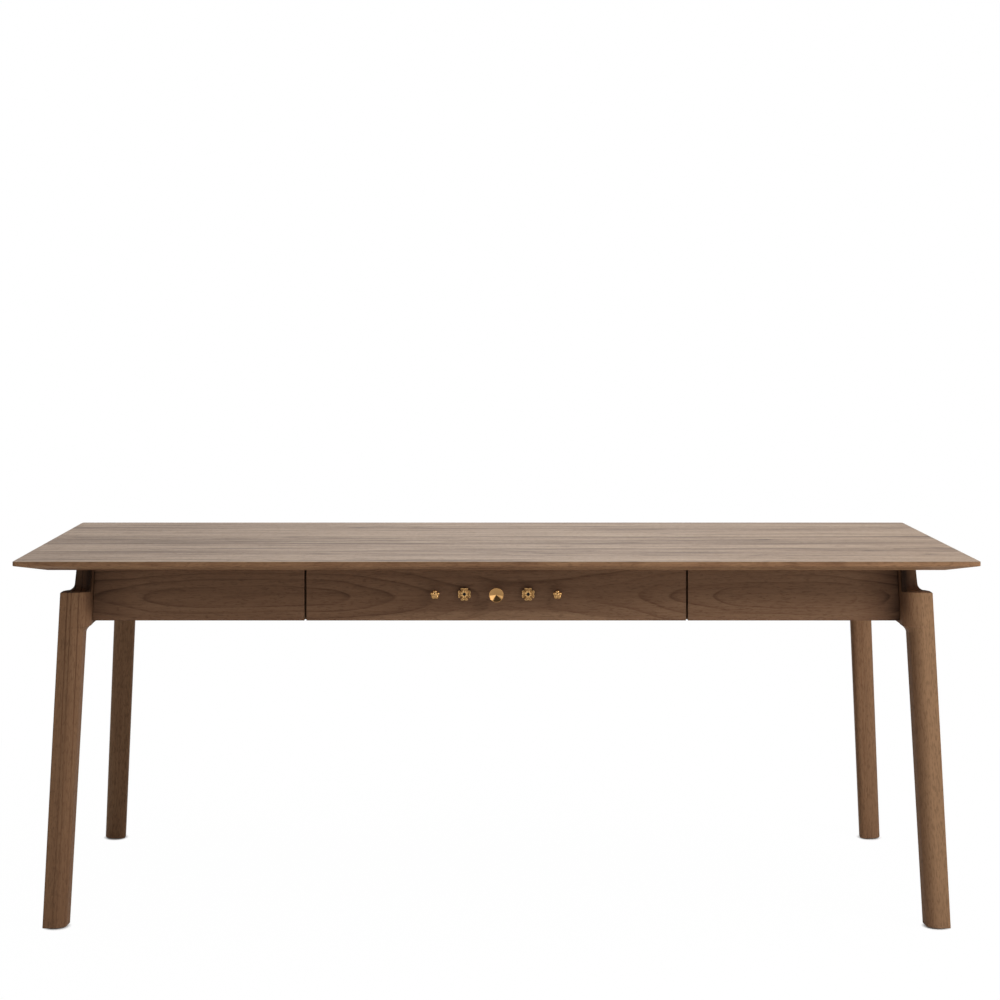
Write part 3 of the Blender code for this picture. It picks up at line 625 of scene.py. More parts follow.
EDGE_ZONE = 0.03  # height under the upper face in which the painted light on the edge changes
# painted light on the edge band and the bevel under it: height share, tone added
EDGE_PAINTED_LIGHT_SHARES = [(0.30, 0.22), (0.66, 0.31), (0.70, 0.15), (0.95, 0.15), (0.97, 0.0)]


def plank_tone(recipe):
    across = recipe.past(recipe.split(recipe.place)["Y"], TOP_LOW.y, TOP_HIGH.y - TOP_LOW.y)
    return recipe.ramp(across, PLANK_SHARES, "CONSTANT")


def plank_place(recipe):
    """Each plank of the top is cut from another part of the tree."""
    x, y, z = recipe.split(recipe.place)
    return recipe.joined(recipe.plus(x, plank_tone(recipe), PLANK_SHIFT), y, z)


def plank_figure(recipe, place):
    """Tone of each plank, streaks that taper, growth rings and a few pin knots."""
    tone = recipe.scaled(plank_tone(recipe), PLANK_CONTRAST, PLANK_LIFT)
    drift = swayed(recipe, place, "X", 0.05)
    streaks = recipe.clouds(drift, (2.1, 40, 1), 2, 0.55)
    tone = recipe.plus(tone, recipe.rise(streaks, 0.58, 0.68), DARK_STREAK)
    tone = recipe.plus(tone, recipe.fall(streaks, 0.30, 0.40), PALE_STREAK)
    hills = recipe.clouds(drift, (0.9, 9, 1), 2, 0.45)
    rings = recipe.ramp(recipe.sum("FRACT", recipe.scaled(hills, PLANK_RINGS)), PLANK_RING_TONES)
    tone = recipe.plus(tone, rings, PLANK_RING_TONE)
    knots = 0.0
    size = (1 / KNOT_LENGTH, 1 / KNOT_WIDTH, 0)
    for x, y in KNOT_PLACES:
        off = recipe.mapped(recipe.place, place=(-x * size[0], -y * size[1], 0), size=size)
        knot = recipe.fall(recipe.length(off), 0.0, 0.9, "EASE")
        knots = recipe.sum("MAXIMUM", knots, knot)
    return recipe.plus(tone, knots, KNOT_TONE)


def underside_painted_light(recipe):
    """Painted light: the edge and underside of the top are a little paler than its upper face, and paler to
    the right.
    """
    x, y, z = recipe.split(recipe.place)
    rise = recipe.past(z, TOP_HIGH.z - EDGE_ZONE, EDGE_ZONE)
    below = recipe.fall(rise, 0.95, 0.97)
    return recipe.plus(recipe.ramp(rise, EDGE_PAINTED_LIGHT_SHARES), recipe.product(below, x), RIGHT_PAINTED_LIGHT)


# The tree's own pattern on the boards round the legs, and on the front boards painted shadow by the legs'
# heads and painted light to the right

HEART_SHARES = [
    (0.00, 0.62), (0.094, 0.40), (0.2365, 0.14), (0.3805, 0.40), (0.475, 0.70), (0.52, 0.80),
    (0.613, 0.68), (0.655, 0.56), (0.683, 0.43), (0.724, 0.30), (0.803, 0.05), (0.8815, 0.30),
    (0.935, 0.52), (1.00, 0.70),
]  # place along two metres of board, distance of its face from the tree's heart
HEART_REACH = 0.085
HEART_RISE = 0.678
RING_WIDTH = 0.0125
RING_TONES = [(0.0, 0.72), (0.40, 0.66), (0.74, 0.48), (0.92, 0.05), (1.0, 0.72)]
RING_STRENGTH = 0.42
RING_WANDER = 0.030
RING_BREAK_SHARES = [(0.38, 0.15), (0.62, 1.0)]
HEART_ZONE = 0.030
HEART_FADE_SHARES = [(0.35, 0.2), (0.75, 1.0)]
PALE_BAND_TOP = 0.6535  # height of the pale band's upper edge in the middle of the front
PALE_BAND_FALL = 0.21  # how fast it falls to the ends, as a share of the distance squared
PALE_BAND_ZONE = 0.03
PALE_BAND_WANDER = 0.004
PALE_BAND_TONES = [(0.20, 0.26), (0.80, 0.15), (0.94, 0.0)]
FRONT_END_PAINTED_SHADOWS = [(1, 0.090, -0.44), (-1, 0.095, -0.20)]  # side, width and tone of the painted shadow by the leg's head


def ring_figure(axis, start):
    """Growth rings of a board that grazes the tree's heart twice, as two long eyes."""

    def figure(recipe, place):
        x, y, z = recipe.split(recipe.place)
        along = recipe.scaled(x if axis == "X" else y, 0.5, start)
        heart = recipe.scaled(recipe.curve(along, HEART_SHARES), HEART_REACH)
        wander = recipe.clouds(recipe.place, stretched(axis, 2.2, 16), 3, 0.55)
        rise = recipe.plus(z, wander, RING_WANDER)
        rise = recipe.sum("SUBTRACT", rise, HEART_RISE + RING_WANDER / 2)
        radius = recipe.length(recipe.joined(heart, rise, 0.0))
        ring = recipe.sum("FRACT", recipe.scaled(radius, 1 / RING_WIDTH))
        tone = recipe.sum("SUBTRACT", recipe.ramp(ring, RING_TONES), 0.55)
        fade = recipe.clouds(recipe.place, stretched(axis, 3.5, 22))
        fade = recipe.ramp(fade, RING_BREAK_SHARES)
        off_heart = recipe.ramp(recipe.scaled(radius, 1 / HEART_ZONE), HEART_FADE_SHARES)
        return recipe.product(tone, fade, off_heart, RING_STRENGTH)

    return figure


def front_figure(recipe, place):
    """The front boards' rings, with a paler band that rises to the middle of their lower edge.

    Painted light makes their right part paler, and painted shadow darkens their ends by the legs' heads.
    """
    x, y, z = recipe.split(recipe.place)
    tone = ring_figure("X", 0.5)(recipe, place)
    rise = recipe.plus(z, recipe.product(x, x), PALE_BAND_FALL)
    rise = recipe.plus(rise, recipe.clouds(recipe.place, (4, 1, 60), 3), PALE_BAND_WANDER)
    rise = recipe.past(rise, PALE_BAND_TOP + PALE_BAND_WANDER / 2 - PALE_BAND_ZONE, PALE_BAND_ZONE)
    tone = recipe.plus(tone, recipe.ramp(rise, PALE_BAND_TONES))
    # painted light: the right part of the front boards a little paler
    tone = recipe.plus(tone, recipe.rise(recipe.past(x, -0.10, 0.40)), 0.05)
    # painted shadow by the legs' heads at the boards' outer ends
    for side, width, shade in FRONT_END_PAINTED_SHADOWS:
        end = recipe.scaled(x, side / width, 1 - FRONT_REACH / width)
        tone = recipe.plus(tone, recipe.rise(end), shade)
    return tone


# The tree's own pattern on the legs, with painted shade on their heads and painted light on one side

NECK_ZONE = 0.05  # height in which the painted shade on a leg's head sets in
NECK_START = 0.0008  # below the shoulder
# painted shade in the notch at the top of a leg
NECK_SHADE_TONE = -0.33
SEAM_ZONE = 0.005  # distance from an apron's end in which the painted shade in the notch sets in
# painted shade on the head's side next to the long apron
HEAD_SIDE_WIDTH = 0.022
HEAD_SIDE_SHADE_TONE = -0.34
LINE_WANDER = 0.010
LINE_BREAK_SHARES = [(0.35, 0.45), (0.60, 1.0)]
LINE_FOOT_SHARES = [(0.15, 0.45), (0.60, 1.0)]  # height, how strong the lines are there
# Painted light that makes a leg paler towards its outer side: where it starts and its width
PAINTED_LIGHT_START = 0.885  # off the middle of the table
PAINTED_LIGHT_WIDTH = 0.05


def neck_painted_shade(recipe):
    """Painted shade: the notch at the top of a leg is darkened, and a leg darkens where it meets an apron.
    """
    x, y, z = recipe.split(recipe.place)
    legs = bpy.context.scene.leg_sizes
    shoulder = TOP_LOW.z - legs.shoulder_drop
    neck = recipe.rise(recipe.past(z, shoulder - NECK_START, NECK_ZONE), 0.0, 0.014)
    for part, reach, low in ((x, FRONT_REACH, FRONT_LOW.z), (y, END_REACH, END_APRON_BOTTOM)):
        off_board = recipe.plus(recipe.sum("ABSOLUTE", part), z, legs.splay_share)
        off_board = recipe.past(off_board, reach + legs.splay_share * low, SEAM_ZONE)
        neck = recipe.product(neck, recipe.rise(off_board, 0.25, 0.60))
    head = recipe.rise(recipe.past(z, END_APRON_BOTTOM, NECK_ZONE), steps="EASE")
    side = recipe.past(recipe.sum("ABSOLUTE", x), FRONT_REACH + HEAD_SIDE_WIDTH, -HEAD_SIDE_WIDTH)
    tone = recipe.product(head, recipe.rise(side, steps="EASE"), HEAD_SIDE_SHADE_TONE)
    return recipe.plus(tone, neck, NECK_SHADE_TONE)


def leg_place(side, end, follow):
    """Stands a leg's pattern upright, so that its lines follow a share of the leg's splay."""
    lean = math.atan(bpy.context.scene.leg_sizes.splay_share) * follow

    def place(recipe):
        return recipe.mapped(recipe.place, turn=(-end * lean, side * lean, 0))

    return place


def leg_figure(lines, strength, side, painted_light_out):
    """Fine dark upright lines at places across the front of a leg, each with its width.

    The last argument is how much paler painted light makes the leg towards its outer side.
    """

    def figure(recipe, place):
        x, y, z = recipe.split(place)
        across = recipe.plus(x, recipe.clouds(place, (3, 3, 2.5)), LINE_WANDER)
        fade = recipe.ramp(recipe.clouds(place, (140, 140, 6)), LINE_BREAK_SHARES)
        fade = recipe.product(fade, recipe.ramp(z, LINE_FOOT_SHARES))
        dark = 0.0
        for spot, width in lines:
            near = recipe.sum("ABSOLUTE", recipe.sum("SUBTRACT", across, spot))
            line = recipe.fall(recipe.scaled(near, 1 / width), steps="EASE")
            dark = recipe.sum("MAXIMUM", dark, line)
        # painted light: the leg paler towards its outer side
        outward = recipe.scaled(across, side / PAINTED_LIGHT_WIDTH, -PAINTED_LIGHT_START / PAINTED_LIGHT_WIDTH)
        pale = recipe.scaled(recipe.rise(outward, steps="EASE"), painted_light_out)
        return recipe.plus(pale, recipe.product(dark, fade), -strength)

    return figure


# Finishes of the fittings

CLOSE_GRAIN_RELIEF = 0.0002
RUBBED_TONE = 0.62  # the tone of plain brass, between aged and bright
CAST_RELIEF = 0.0003
BRUSHED_RELIEF = 0.0001
MOTTLED_RELIEF = 0.0002


def pale_wood(name, axis, shift):
    """The drawer box: pale close-grained wood under clear lacquer."""
    colours = bpy.context.scene.fitting_colours
    recipe = Recipe(name)
    moved = recipe.mapped(recipe.place, place=shift)
    streaks = recipe.clouds(moved, stretched(axis, 1.5, 70), 3, 0.6)
    fibre = recipe.clouds(moved, stretched(axis, 14, 600), 2, 0.6)
    tone = recipe.plus(recipe.scaled(streaks, 0.8, -0.1), fibre, 0.35)
    colour = recipe.ramp(tone, [(0.2, colours.box_wood_dark), (0.6, colours.box_wood)])
    recipe.bump(fibre, 0.2, CLOSE_GRAIN_RELIEF)
    return recipe.finish(colour, recipe.scaled(fibre, 0.15, 0.40), 0.4)


def brass(name, face_reach, hollow_depth, mottle, roughness, lift=0.0, hollow_tone=-0.45):
    """Cast brass, rubbed bright on its face and darkened in its hollows and towards its foot."""
    colours = bpy.context.scene.fitting_colours
    recipe = Recipe(name)
    sunk = recipe.past(recipe.split(recipe.place)["Y"], APRON_FACE_Y - face_reach, hollow_depth)
    cloud = recipe.noise(recipe.place, 420, 3, 0.6)
    speck = recipe.noise(recipe.place, 1500, 2, 0.6)
    grime = recipe.plus(recipe.scaled(speck, 0.5, -0.6), cloud, 0.7)
    wear = recipe.scaled(grime, mottle * 1.6, RUBBED_TONE + lift)
    wear = recipe.plus(wear, recipe.rise(sunk), hollow_tone)
    tones = [(0.05, colours.brass_dark), (RUBBED_TONE, colours.brass), (1.0, colours.brass_bright)]
    recipe.bump(recipe.plus(cloud, speck, 0.5), 0.05 + 0.22 * mottle, CAST_RELIEF)
    duller = recipe.scaled(grime, -0.10 - 0.15 * mottle, roughness)
    return recipe.finish(recipe.ramp(wear, tones), duller, metallic=1)


def steel(name, size):
    """Zinc-plated steel, brushed along the direction in which the size is small."""
    recipe = Recipe(name)
    tint = bpy.context.scene.fitting_colours.steel
    brushed = recipe.clouds(recipe.place, size, 2, 0.6)
    cloud = recipe.noise(recipe.place, 90, 2, 0.5)
    tone = recipe.plus(recipe.scaled(cloud, 0.5), brushed, 0.5)
    recipe.bump(brushed, 0.15, BRUSHED_RELIEF)
    colour = recipe.ramp(tone, [(0.3, tint * 0.7), (0.7, tint)])
    return recipe.finish(colour, recipe.scaled(brushed, 0.25, 0.25), metallic=1)


def mottled(name, tint, paler, places, scale, relief, roughness, gloss=0.5):
    """A dull finish that clouds over from its tint to one so many times paler."""
    recipe = Recipe(name)
    cloud = recipe.noise(recipe.place, scale, 3, 0.6)
    recipe.bump(cloud, relief, MOTTLED_RELIEF)
    colour = recipe.ramp(cloud, list(zip(places, (tint, tint * paler))))
    return recipe.finish(colour, recipe.scaled(cloud, 0.2, roughness), gloss)


# Pieces

def model_tabletop(sizes):
    """A board with rounded corners, an upright edge band and a bevel underneath all round."""
    top = add_box("tabletop_piece", TOP_LOW, TOP_HIGH)
    edit(top)
    pick("edges", lambda edge: runs_along(edge, 2))
    bevel(sizes.corner_radius, 8)
    bpy.ops.mesh.select_all(action="SELECT")
    bpy.ops.mesh.bisect(plane_co=(0, 0, TOP_HIGH.z - sizes.band), plane_no=(0, 0, 1))
    pick("verts", lambda vert: vert.co.z < TOP_LOW.z + SMALL)
    shares = (1 - sizes.end_bevel / TOP_HIGH.x, 1 - sizes.side_bevel / TOP_HIGH.y, 1)
    bpy.ops.transform.resize(value=shares, center_override=(0, 0, TOP_LOW.z))
    pick("edges", lambda edge: crease(edge) > math.radians(35))
    bevel(sizes.arris_radius, 3)
    leave_edit()
    smooth(top, 20)
    return top


NOTCH_MERGE = 0.0002  # points of the notch's edge that are nearer than this become one
FLARE_STEPS = 9
FLARE_TURN = math.radians(50)  # how far the flare under a leg's head turns outwards
CORNER_STEPS = 8
CORNER_REACH_SHARE = 1.4  # of a corner's radius, in which all its rounding lies


def leg_corners(legs, height, swell):
    """The four corners of an upright leg's section, from its outer corner round by the front."""
    width = legs.foot_width + (legs.neck_width - legs.foot_width) * height / TOP_LOW.z
    width += swell * (legs.head_reach_x - width)
    depth = legs.depth + swell * (legs.head_reach_y - legs.depth)
    slant = legs.slant * (1 - swell)
    spots = [(0, 0), (width - slant, 0), (width, depth), (0, depth - slant)]
    return [Vector((x, y, height)) for x, y in spots]


def move_corners(old, new):
    for before, after in zip(old, new):
        if (after - before).length > SMALL:
            pick_points([before])
            bpy.ops.transform.translate(value=after - before)


def flare_levels(legs):
    """Heights up a leg, each with how far the head has swollen there, from 0 to 1."""
    start = END_APRON_BOTTOM - legs.flare_height
    levels = [(LEG_LOW.z, 0), (start, 0)]
    for step in range(1, FLARE_STEPS + 1):
        turn = FLARE_TURN * step / FLARE_STEPS
        rise = math.sin(turn) / math.sin(FLARE_TURN)
        swell = (1 - math.cos(turn)) / (1 - math.cos(FLARE_TURN))
        levels.append((start + legs.flare_height * rise, swell))
    return levels + [(LEG_HIGH.z, 1)]


def round_leg(rings, swells, corners):
    """Rounds the long corners, each with one radius below and another round the head."""

    def on_chain(edge, corner):
        return all(
            any((vert.co - ring[corner]).length < SMALL for ring in rings) for vert in edge.verts
        )

    for corner, radius, _ in corners:
        pick("edges", lambda edge: on_chain(edge, corner))
        bevel(radius, CORNER_STEPS)
    swollen = [(swell, ring) for swell, ring in zip(swells, rings) if swell]
    for swell, ring in swollen:
        for corner, radius, head_radius in corners:
            middle = ring[corner]
            share = 1 + swell * (head_radius / radius - 1)
            reach = radius * CORNER_REACH_SHARE
            pick(
                "verts",
                lambda vert: abs(vert.co.z - middle.z) < SMALL and (vert.co - middle).length < reach,
            )
            bpy.ops.transform.resize(value=(share, share, 1), center_override=middle)


def model_leg(legs):
    """The front left leg: shaped upright from its foot, notched, then leant into its place."""
    levels = flare_levels(legs)
    rings = [leg_corners(legs, height, swell) for height, swell in levels]
    foot, flare_start = levels[0][0], levels[1][0]
    leg = add_box("leg_shape", (0, 0, foot), (legs.foot_width, legs.depth, flare_start))
    edit(leg, "VERT")
    for height, ring in zip((foot, flare_start), rings):
        spots = [(0, 0), (legs.foot_width, 0), (legs.foot_width, legs.depth), (0, legs.depth)]
        move_corners([Vector((x, y, height)) for x, y in spots], ring)
    for ring, next_ring in zip(rings[1:], rings[2:]):
        pick("faces", lambda face: face.normal.z > 0.9)
        rise = Vector((0, 0, next_ring[0].z - ring[0].z))
        extrude(rise)
        move_corners([corner + rise for corner in ring], next_ring)
    corners = [
        (1, legs.round_radius, legs.head_side_radius),
        (3, legs.round_radius, legs.head_side_radius),
        (2, legs.inner_radius, legs.head_inner_radius),
    ]
    round_leg(rings, [swell for height, swell in levels], corners)
    leave_edit()
    cut_notch(leg, legs)
    edit(leg)

    def crisp(edge):
        first, second = (vert.co for vert in edge.verts)
        low = min(first.z, second.z)
        high = max(first.z, second.z)
        if crease(edge) < math.radians(36) or low > LEG_HIGH.z - SMALL:
            return False
        arris = max(first.x, first.y, second.x, second.y) < SMALL
        return arris or low > LEG_HIGH.z - legs.shoulder_drop - SMALL or high < LEG_LOW.z + SMALL

    pick("edges", crisp)
    bevel(legs.arris_radius, 3)
    leave_edit()
    lean = Matrix.Identity(4)
    for axis in (0, 1):
        lean[axis][2] = legs.splay_share
        lean[axis][3] = LEG_LOW[axis] - legs.splay_share * LEG_LOW.z
    leg.data.transform(lean)
    return leg


def cut_notch(leg, legs):
    """Takes the outer corner off the leg's head, down to a shoulder with a filleted inner end."""
    shoulder = TOP_LOW.z - legs.shoulder_drop
    over = TOP_HIGH.z
    shelf = legs.notch_depth - legs.notch_lean
    half = legs.head_reach_x * 2

    def at_inner_end(vert):
        return abs(vert.co.x - shelf) < SMALL and abs(vert.co.z - shoulder) < SMALL

    cutter = add_box("notch_cutter", (-half, -half, shoulder), (shelf, half, over))
    edit(cutter)
    pick_points([Vector((shelf, side * half, over)) for side in (-1, 1)])
    bpy.ops.transform.translate(value=(legs.notch_lean, 0, 0))
    pick("edges", lambda edge: all(at_inner_end(vert) for vert in edge.verts))
    bevel(legs.notch_fillet, 9)
    leave_edit()
    cutter.rotation_euler.z = math.pi / 4
    apply_place(cutter)
    combine(leg, cutter, "DIFFERENCE")
    edit(leg, "VERT")
    bpy.ops.mesh.select_all(action="SELECT")
    bpy.ops.mesh.remove_doubles(threshold=NOTCH_MERGE)
    leave_edit()


def model_board(name, node, splay, axis, ends, arris):
    """An apron board: a box whose ends follow the legs' lean, with its edges eased."""
    low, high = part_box(node)
    board = add_box(name, low, high)
    edit(board, "VERT")
    for side in ends:
        reach = (low if side < 0 else high)[axis]
        pick("verts", lambda vert: abs(vert.co[axis] - reach) < SMALL and vert.co.z > high.z - SMALL)
        step = Vector((0, 0, 0))
        step[axis] = -side * splay * (high.z - low.z)
        bpy.ops.transform.translate(value=step)
    leave_edit()
    soften(board, arris)
    return board


# Smaller sizes of the knobs. Steps go from one ring of a turned shape to the next.
KNOB_FOOT_STEPS = ((0.0, 0.0012), (0.0005, 0.0016))  # less than the foot's radius, reach
KNOB_FOOT_REACH = 0.0018
DISC_NECK_STEPS = ((0.0, 0.0075), (0.0010, 0.0060))  # more than the stem's radius, before the rim
DISC_BACK = (0.55, 0.0048)  # share of the disc's radius, before the rim
DISC_RIM_STEPS = (
    (0.0020, 0.0030), (0.0004, 0.0018), (0.0, 0.0010), (0.0002, 0.0003), (0.0006, 0.0),
    (0.0010, 0.0), (0.0012, 0.0010),
)  # over the rim and into the dish: less than the disc's radius, before the rim
DISH_STEPS = 12
DISH_BEND = 1.2  # 1 is a cone, and more is rounder
DISH_MIDDLE_SHARE = 0.02  # of the disc's radius
ENGRAVED_START = 0.0052  # off the middle of the eye
ENGRAVED_HALF = 0.0007  # half the width of a line's square cutter
ENGRAVED_REACH_SHARES = (0.84, 0.88)  # along a petal and between two
LOBE_RING_RADIUS = 0.0019
LOBE_RING_WIRE = 0.0008
LOBE_RING_SHARES = (0.68, 0.33)  # place along the petal and off its middle
PETAL_CORNER = 0.0034
PETAL_DIP = (0.0010, 0.0019)  # beyond the petal's tip, radius
PETAL_CLEFT = (1.48, 0.0015)  # share of half a petal's width, radius
PETAL_EASE = 0.0007
EYE_DEPTH = 0.0016
EYE_WIDTH_SHARE = 0.72  # off the eye's middle, along both axes together, that is blackened
STEM_SEAT = 0.0008  # how far a stem stands in its head
BLOSSOM_LOBE_SHARE = 0.46
BLOSSOM_HEART = (0.56, 0.0036)  # share of the radius, half depth
BLOSSOM_LOBE_DEPTH = 0.0031
BLOSSOM_BUTTON = (0.17, 0.0011)  # share of the radius, half depth
BLOSSOM_BUTTON_RISE = 0.0026
BLOSSOM_STEM_SHORT = 0.0020
BLOSSOM_BRIGHT_REACH = 0.0210  # off the drawer front, where a blossom is brightest


def start_knob(centre, radius, steps):
    """A round blank against the drawer front, its face towards the front and open for editing."""
    bpy.ops.object.select_all(action="DESELECT")
    bpy.ops.mesh.primitive_circle_add(
        vertices=steps, radius=radius, fill_type="NGON", location=centre, rotation=(math.pi / 2, 0, 0)
    )
    blank = bpy.context.object
    apply_place(blank)
    edit(blank, "FACE")
    bpy.ops.mesh.select_all(action="SELECT")
    return blank


def turn_knob(knobs, centre, profile, steps):
    """Extrudes and scales a round blank through its foot and then (radius, reach) pairs."""
    knob = start_knob(centre, knobs.foot_radius, steps)
    radius = knobs.foot_radius
    reach = 0.0
    foot = [(knobs.foot_radius - less, foot_reach) for less, foot_reach in KNOB_FOOT_STEPS]
    for next_radius, next_reach in foot + [(knobs.stem_radius, KNOB_FOOT_REACH)] + profile:
        extrude((0, reach - next_reach, 0))
        share = next_radius / radius
        middle = Vector((centre.x, centre.y - next_reach, centre.z))
        bpy.ops.transform.resize(value=(share, 1, share), center_override=middle)
        radius = next_radius
        reach = next_reach
    leave_edit()
    turn_faces_out(knob)
    return knob


def model_disc(knobs, centre):
    """The middle knob: a dished disc with a thin raised rim, on a stem."""
    edge = knobs.disc_radius
    rim = knobs.disc_reach
    back_share, before = DISC_BACK
    profile = [(knobs.stem_radius + more, rim - before) for more, before in DISC_NECK_STEPS]
    profile.append((edge * back_share, rim - before))
    profile += [(edge - less, rim - before) for less, before in DISC_RIM_STEPS]
    start, depth = profile[-1]
    for step in range(1, DISH_STEPS):
        share = step / DISH_STEPS
        fall = 1 - (1 - share) ** DISH_BEND
        profile.append((start * (1 - share), depth - knobs.disc_dish * fall))
    profile.append((edge * DISH_MIDDLE_SHARE, depth - knobs.disc_dish))
    disc = turn_knob(knobs, centre, profile, 64)
    smooth(disc, 42)
    return disc


def model_stem(knobs, centre, length):
    """The round stem of a knob with its foot against the drawer front."""
    return turn_knob(knobs, centre, [(knobs.stem_radius, length)], 48)


def join(pieces):
    bpy.ops.object.select_all(action="DESELECT")
    for piece in pieces:
        piece.select_set(True)
    bpy.context.view_layer.objects.active = pieces[0]
    bpy.ops.object.join()
    return bpy.context.object


def turn_about_y(piece, angle):
    piece.rotation_euler.y = angle
    apply_place(piece)


def engraving(size):
    """Cutters for a rosette's face: a ring in each lobe, and a line along and between the petals."""
    cutters = []
    half = ENGRAVED_HALF
    along, off = (size * share for share in LOBE_RING_SHARES)
    for number in range(8):
        between = number % 2
        reach = size * ENGRAVED_REACH_SHARES[between]
        line = add_box("line", (ENGRAVED_START, -half, -half), (reach, half, half))
        line.rotation_euler.x = math.pi / 4
        apply_place(line)
        turn_about_y(line, math.pi / 4 * number)
        bpy.ops.object.select_all(action="DESELECT")
        bpy.ops.mesh.primitive_torus_add(
            major_radius=LOBE_RING_RADIUS, minor_radius=LOBE_RING_WIRE, major_segments=20,
            minor_segments=8, location=(along, 0, off if between else -off), rotation=(math.pi / 2, 0, 0),
        )
        ring = bpy.context.object
        apply_place(ring)
        turn_about_y(ring, math.pi / 2 * (number // 2))
        cutters += [line, ring]
    return cutters


def model_rosette(knobs, centre):
    """The inner pair: a flat flower of four double petals, engraved, with a square eye on its corner."""
    size = knobs.rosette_radius
    half = knobs.petal_width / 2
    depth = knobs.rosette_depth
    head = add_box("head", (-size, 0, -half), (size, depth, half))
    edit(head)
    pick("edges", lambda edge: runs_along(edge, 1))
    bevel(PETAL_CORNER, 6)
    leave_edit()
    combine(head, turned_copy(head, math.pi / 2), "UNION")
    tip_dip = (size + PETAL_DIP[0], PETAL_DIP[1])
    cleft = (half * PETAL_CLEFT[0], PETAL_CLEFT[1])
    for number in range(8):
        angle = math.pi / 4 * number
        reach, radius = cleft if number % 2 else tip_dip
        bpy.ops.object.select_all(action="DESELECT")
        bpy.ops.mesh.primitive_cylinder_add(
            vertices=24, radius=radius, depth=depth * 3, rotation=(math.pi / 2, 0, 0),
            location=(reach * math.cos(angle), depth / 2, reach * math.sin(angle)),
        )
        combine(head, bpy.context.object, "DIFFERENCE")
    edit(head)
    sharp = math.radians(60)
    pick("edges", lambda edge: crease(edge) > sharp and all(vert.co.y < SMALL for vert in edge.verts))
    bevel(PETAL_EASE, 3)
    leave_edit()
    half_eye = knobs.eye_width / 2
    eye = add_box("eye", (-half_eye, -EYE_DEPTH, -half_eye), (half_eye, EYE_DEPTH, half_eye))
    turn_about_y(eye, math.pi / 4)
    combine(head, join(engraving(size) + [eye]), "DIFFERENCE")
    head.location = (centre.x, centre.y - knobs.rosette_reach, centre.z)
    apply_place(head)
    rosette = join([model_stem(knobs, centre, knobs.rosette_reach - depth + STEM_SEAT), head])
    smooth(rosette, 35)
    return rosette


def model_blossom(knobs, centre):
    """The outer pair: five rounded petals, one of them upwards, round a low button."""
    size = knobs.blossom_radius
    lobe = size * BLOSSOM_LOBE_SHARE
    middle = centre + Vector((0, -knobs.blossom_reach, 0))
    top = middle + Vector((0, -BLOSSOM_BUTTON_RISE, 0))
    head = add_ball("heart", middle, size * BLOSSOM_HEART[0], BLOSSOM_HEART[1])
    for number in range(5):
        angle = math.pi / 2 + 2 * math.pi * number / 5
        step = (size - lobe) * Vector((math.cos(angle), 0, math.sin(angle)))
        combine(head, add_ball("petal", middle + step, lobe, BLOSSOM_LOBE_DEPTH), "UNION")
    combine(head, add_ball("button", top, size * BLOSSOM_BUTTON[0], BLOSSOM_BUTTON[1]), "UNION")
    blossom = join([model_stem(knobs, centre, knobs.blossom_reach - BLOSSOM_STEM_SHORT), head])
    smooth(blossom, 36)
    return blossom


def blacken_eye(rosette, centre, knobs, material):
    """Gives the hollow in the middle of a rosette its own finish."""
    rosette.data.materials.append(material)
    reach = knobs.eye_width * EYE_WIDTH_SHARE
    for face in rosette.data.polygons:
        off = face.center - centre
        sunk = off.y + knobs.rosette_reach
        if SMALL < sunk < EYE_DEPTH + SMALL and abs(off.x) + abs(off.z) < reach:
            face.material_index = 1


# Operators

class TABLE_OT_tabletop(bpy.types.Operator):
    """Models the tabletop and gives it planked walnut"""

    bl_idname = "table.tabletop"
    bl_label = "Tabletop"

    def execute(self, context):
        top = model_tabletop(context.scene.tabletop_sizes)
        wood = walnut(
            "walnut_top", "X", (0.3, 0, 0), plank_figure, plank_place, shares=(0.58, 0.75, 0.35),
            lift=-0.02, bands=(1.3, 20), streaks=(2.6, 62), sway=0.03, gloss=0.16,
            tint=(1.10, 1.28, 1.27), flecked=0.55, raised=underside_painted_light,
            dull_below=TOP_HIGH.z - POLISHED_DEPTH,
        )
        finish_piece(top, "top_board", "frame", ["tabletop"], wood)
        return {"FINISHED"}


# The back legs' larger lift is painted light, making them paler as if more lit, and the outer paling of the
# front right leg is painted light too.
LEG_TIMBERS = {
    "front_left": {
        "lines": [(-0.9117, 0.0026), (-0.9040, 0.0020), (-0.8885, 0.0026)], "strength": 0.34,
        "painted_light_out": 0.0, "lift": 0.09, "shares": (0.12, 0.14, 0.30),
    },
    "front_right": {
        "lines": [(0.893, 0.0030), (0.912, 0.0020)], "strength": 0.05,
        "painted_light_out": 0.36, "lift": 0.09, "shares": (0.16, 0.18, 0.22),
    },
    "back_left": {
        "lines": [(-0.902, 0.0030), (-0.911, 0.0024)], "strength": 0.22,
        "painted_light_out": 0.0, "lift": 0.24, "shares": (0.20, 0.30, 0.34),
    },
    "back_right": {
        "lines": [(0.905, 0.0026), (0.912, 0.0018)], "strength": 0.14,
        "painted_light_out": 0.0, "lift": 0.12, "shares": (0.20, 0.30, 0.34),
    },
}  # lines hold a place across the front and a width


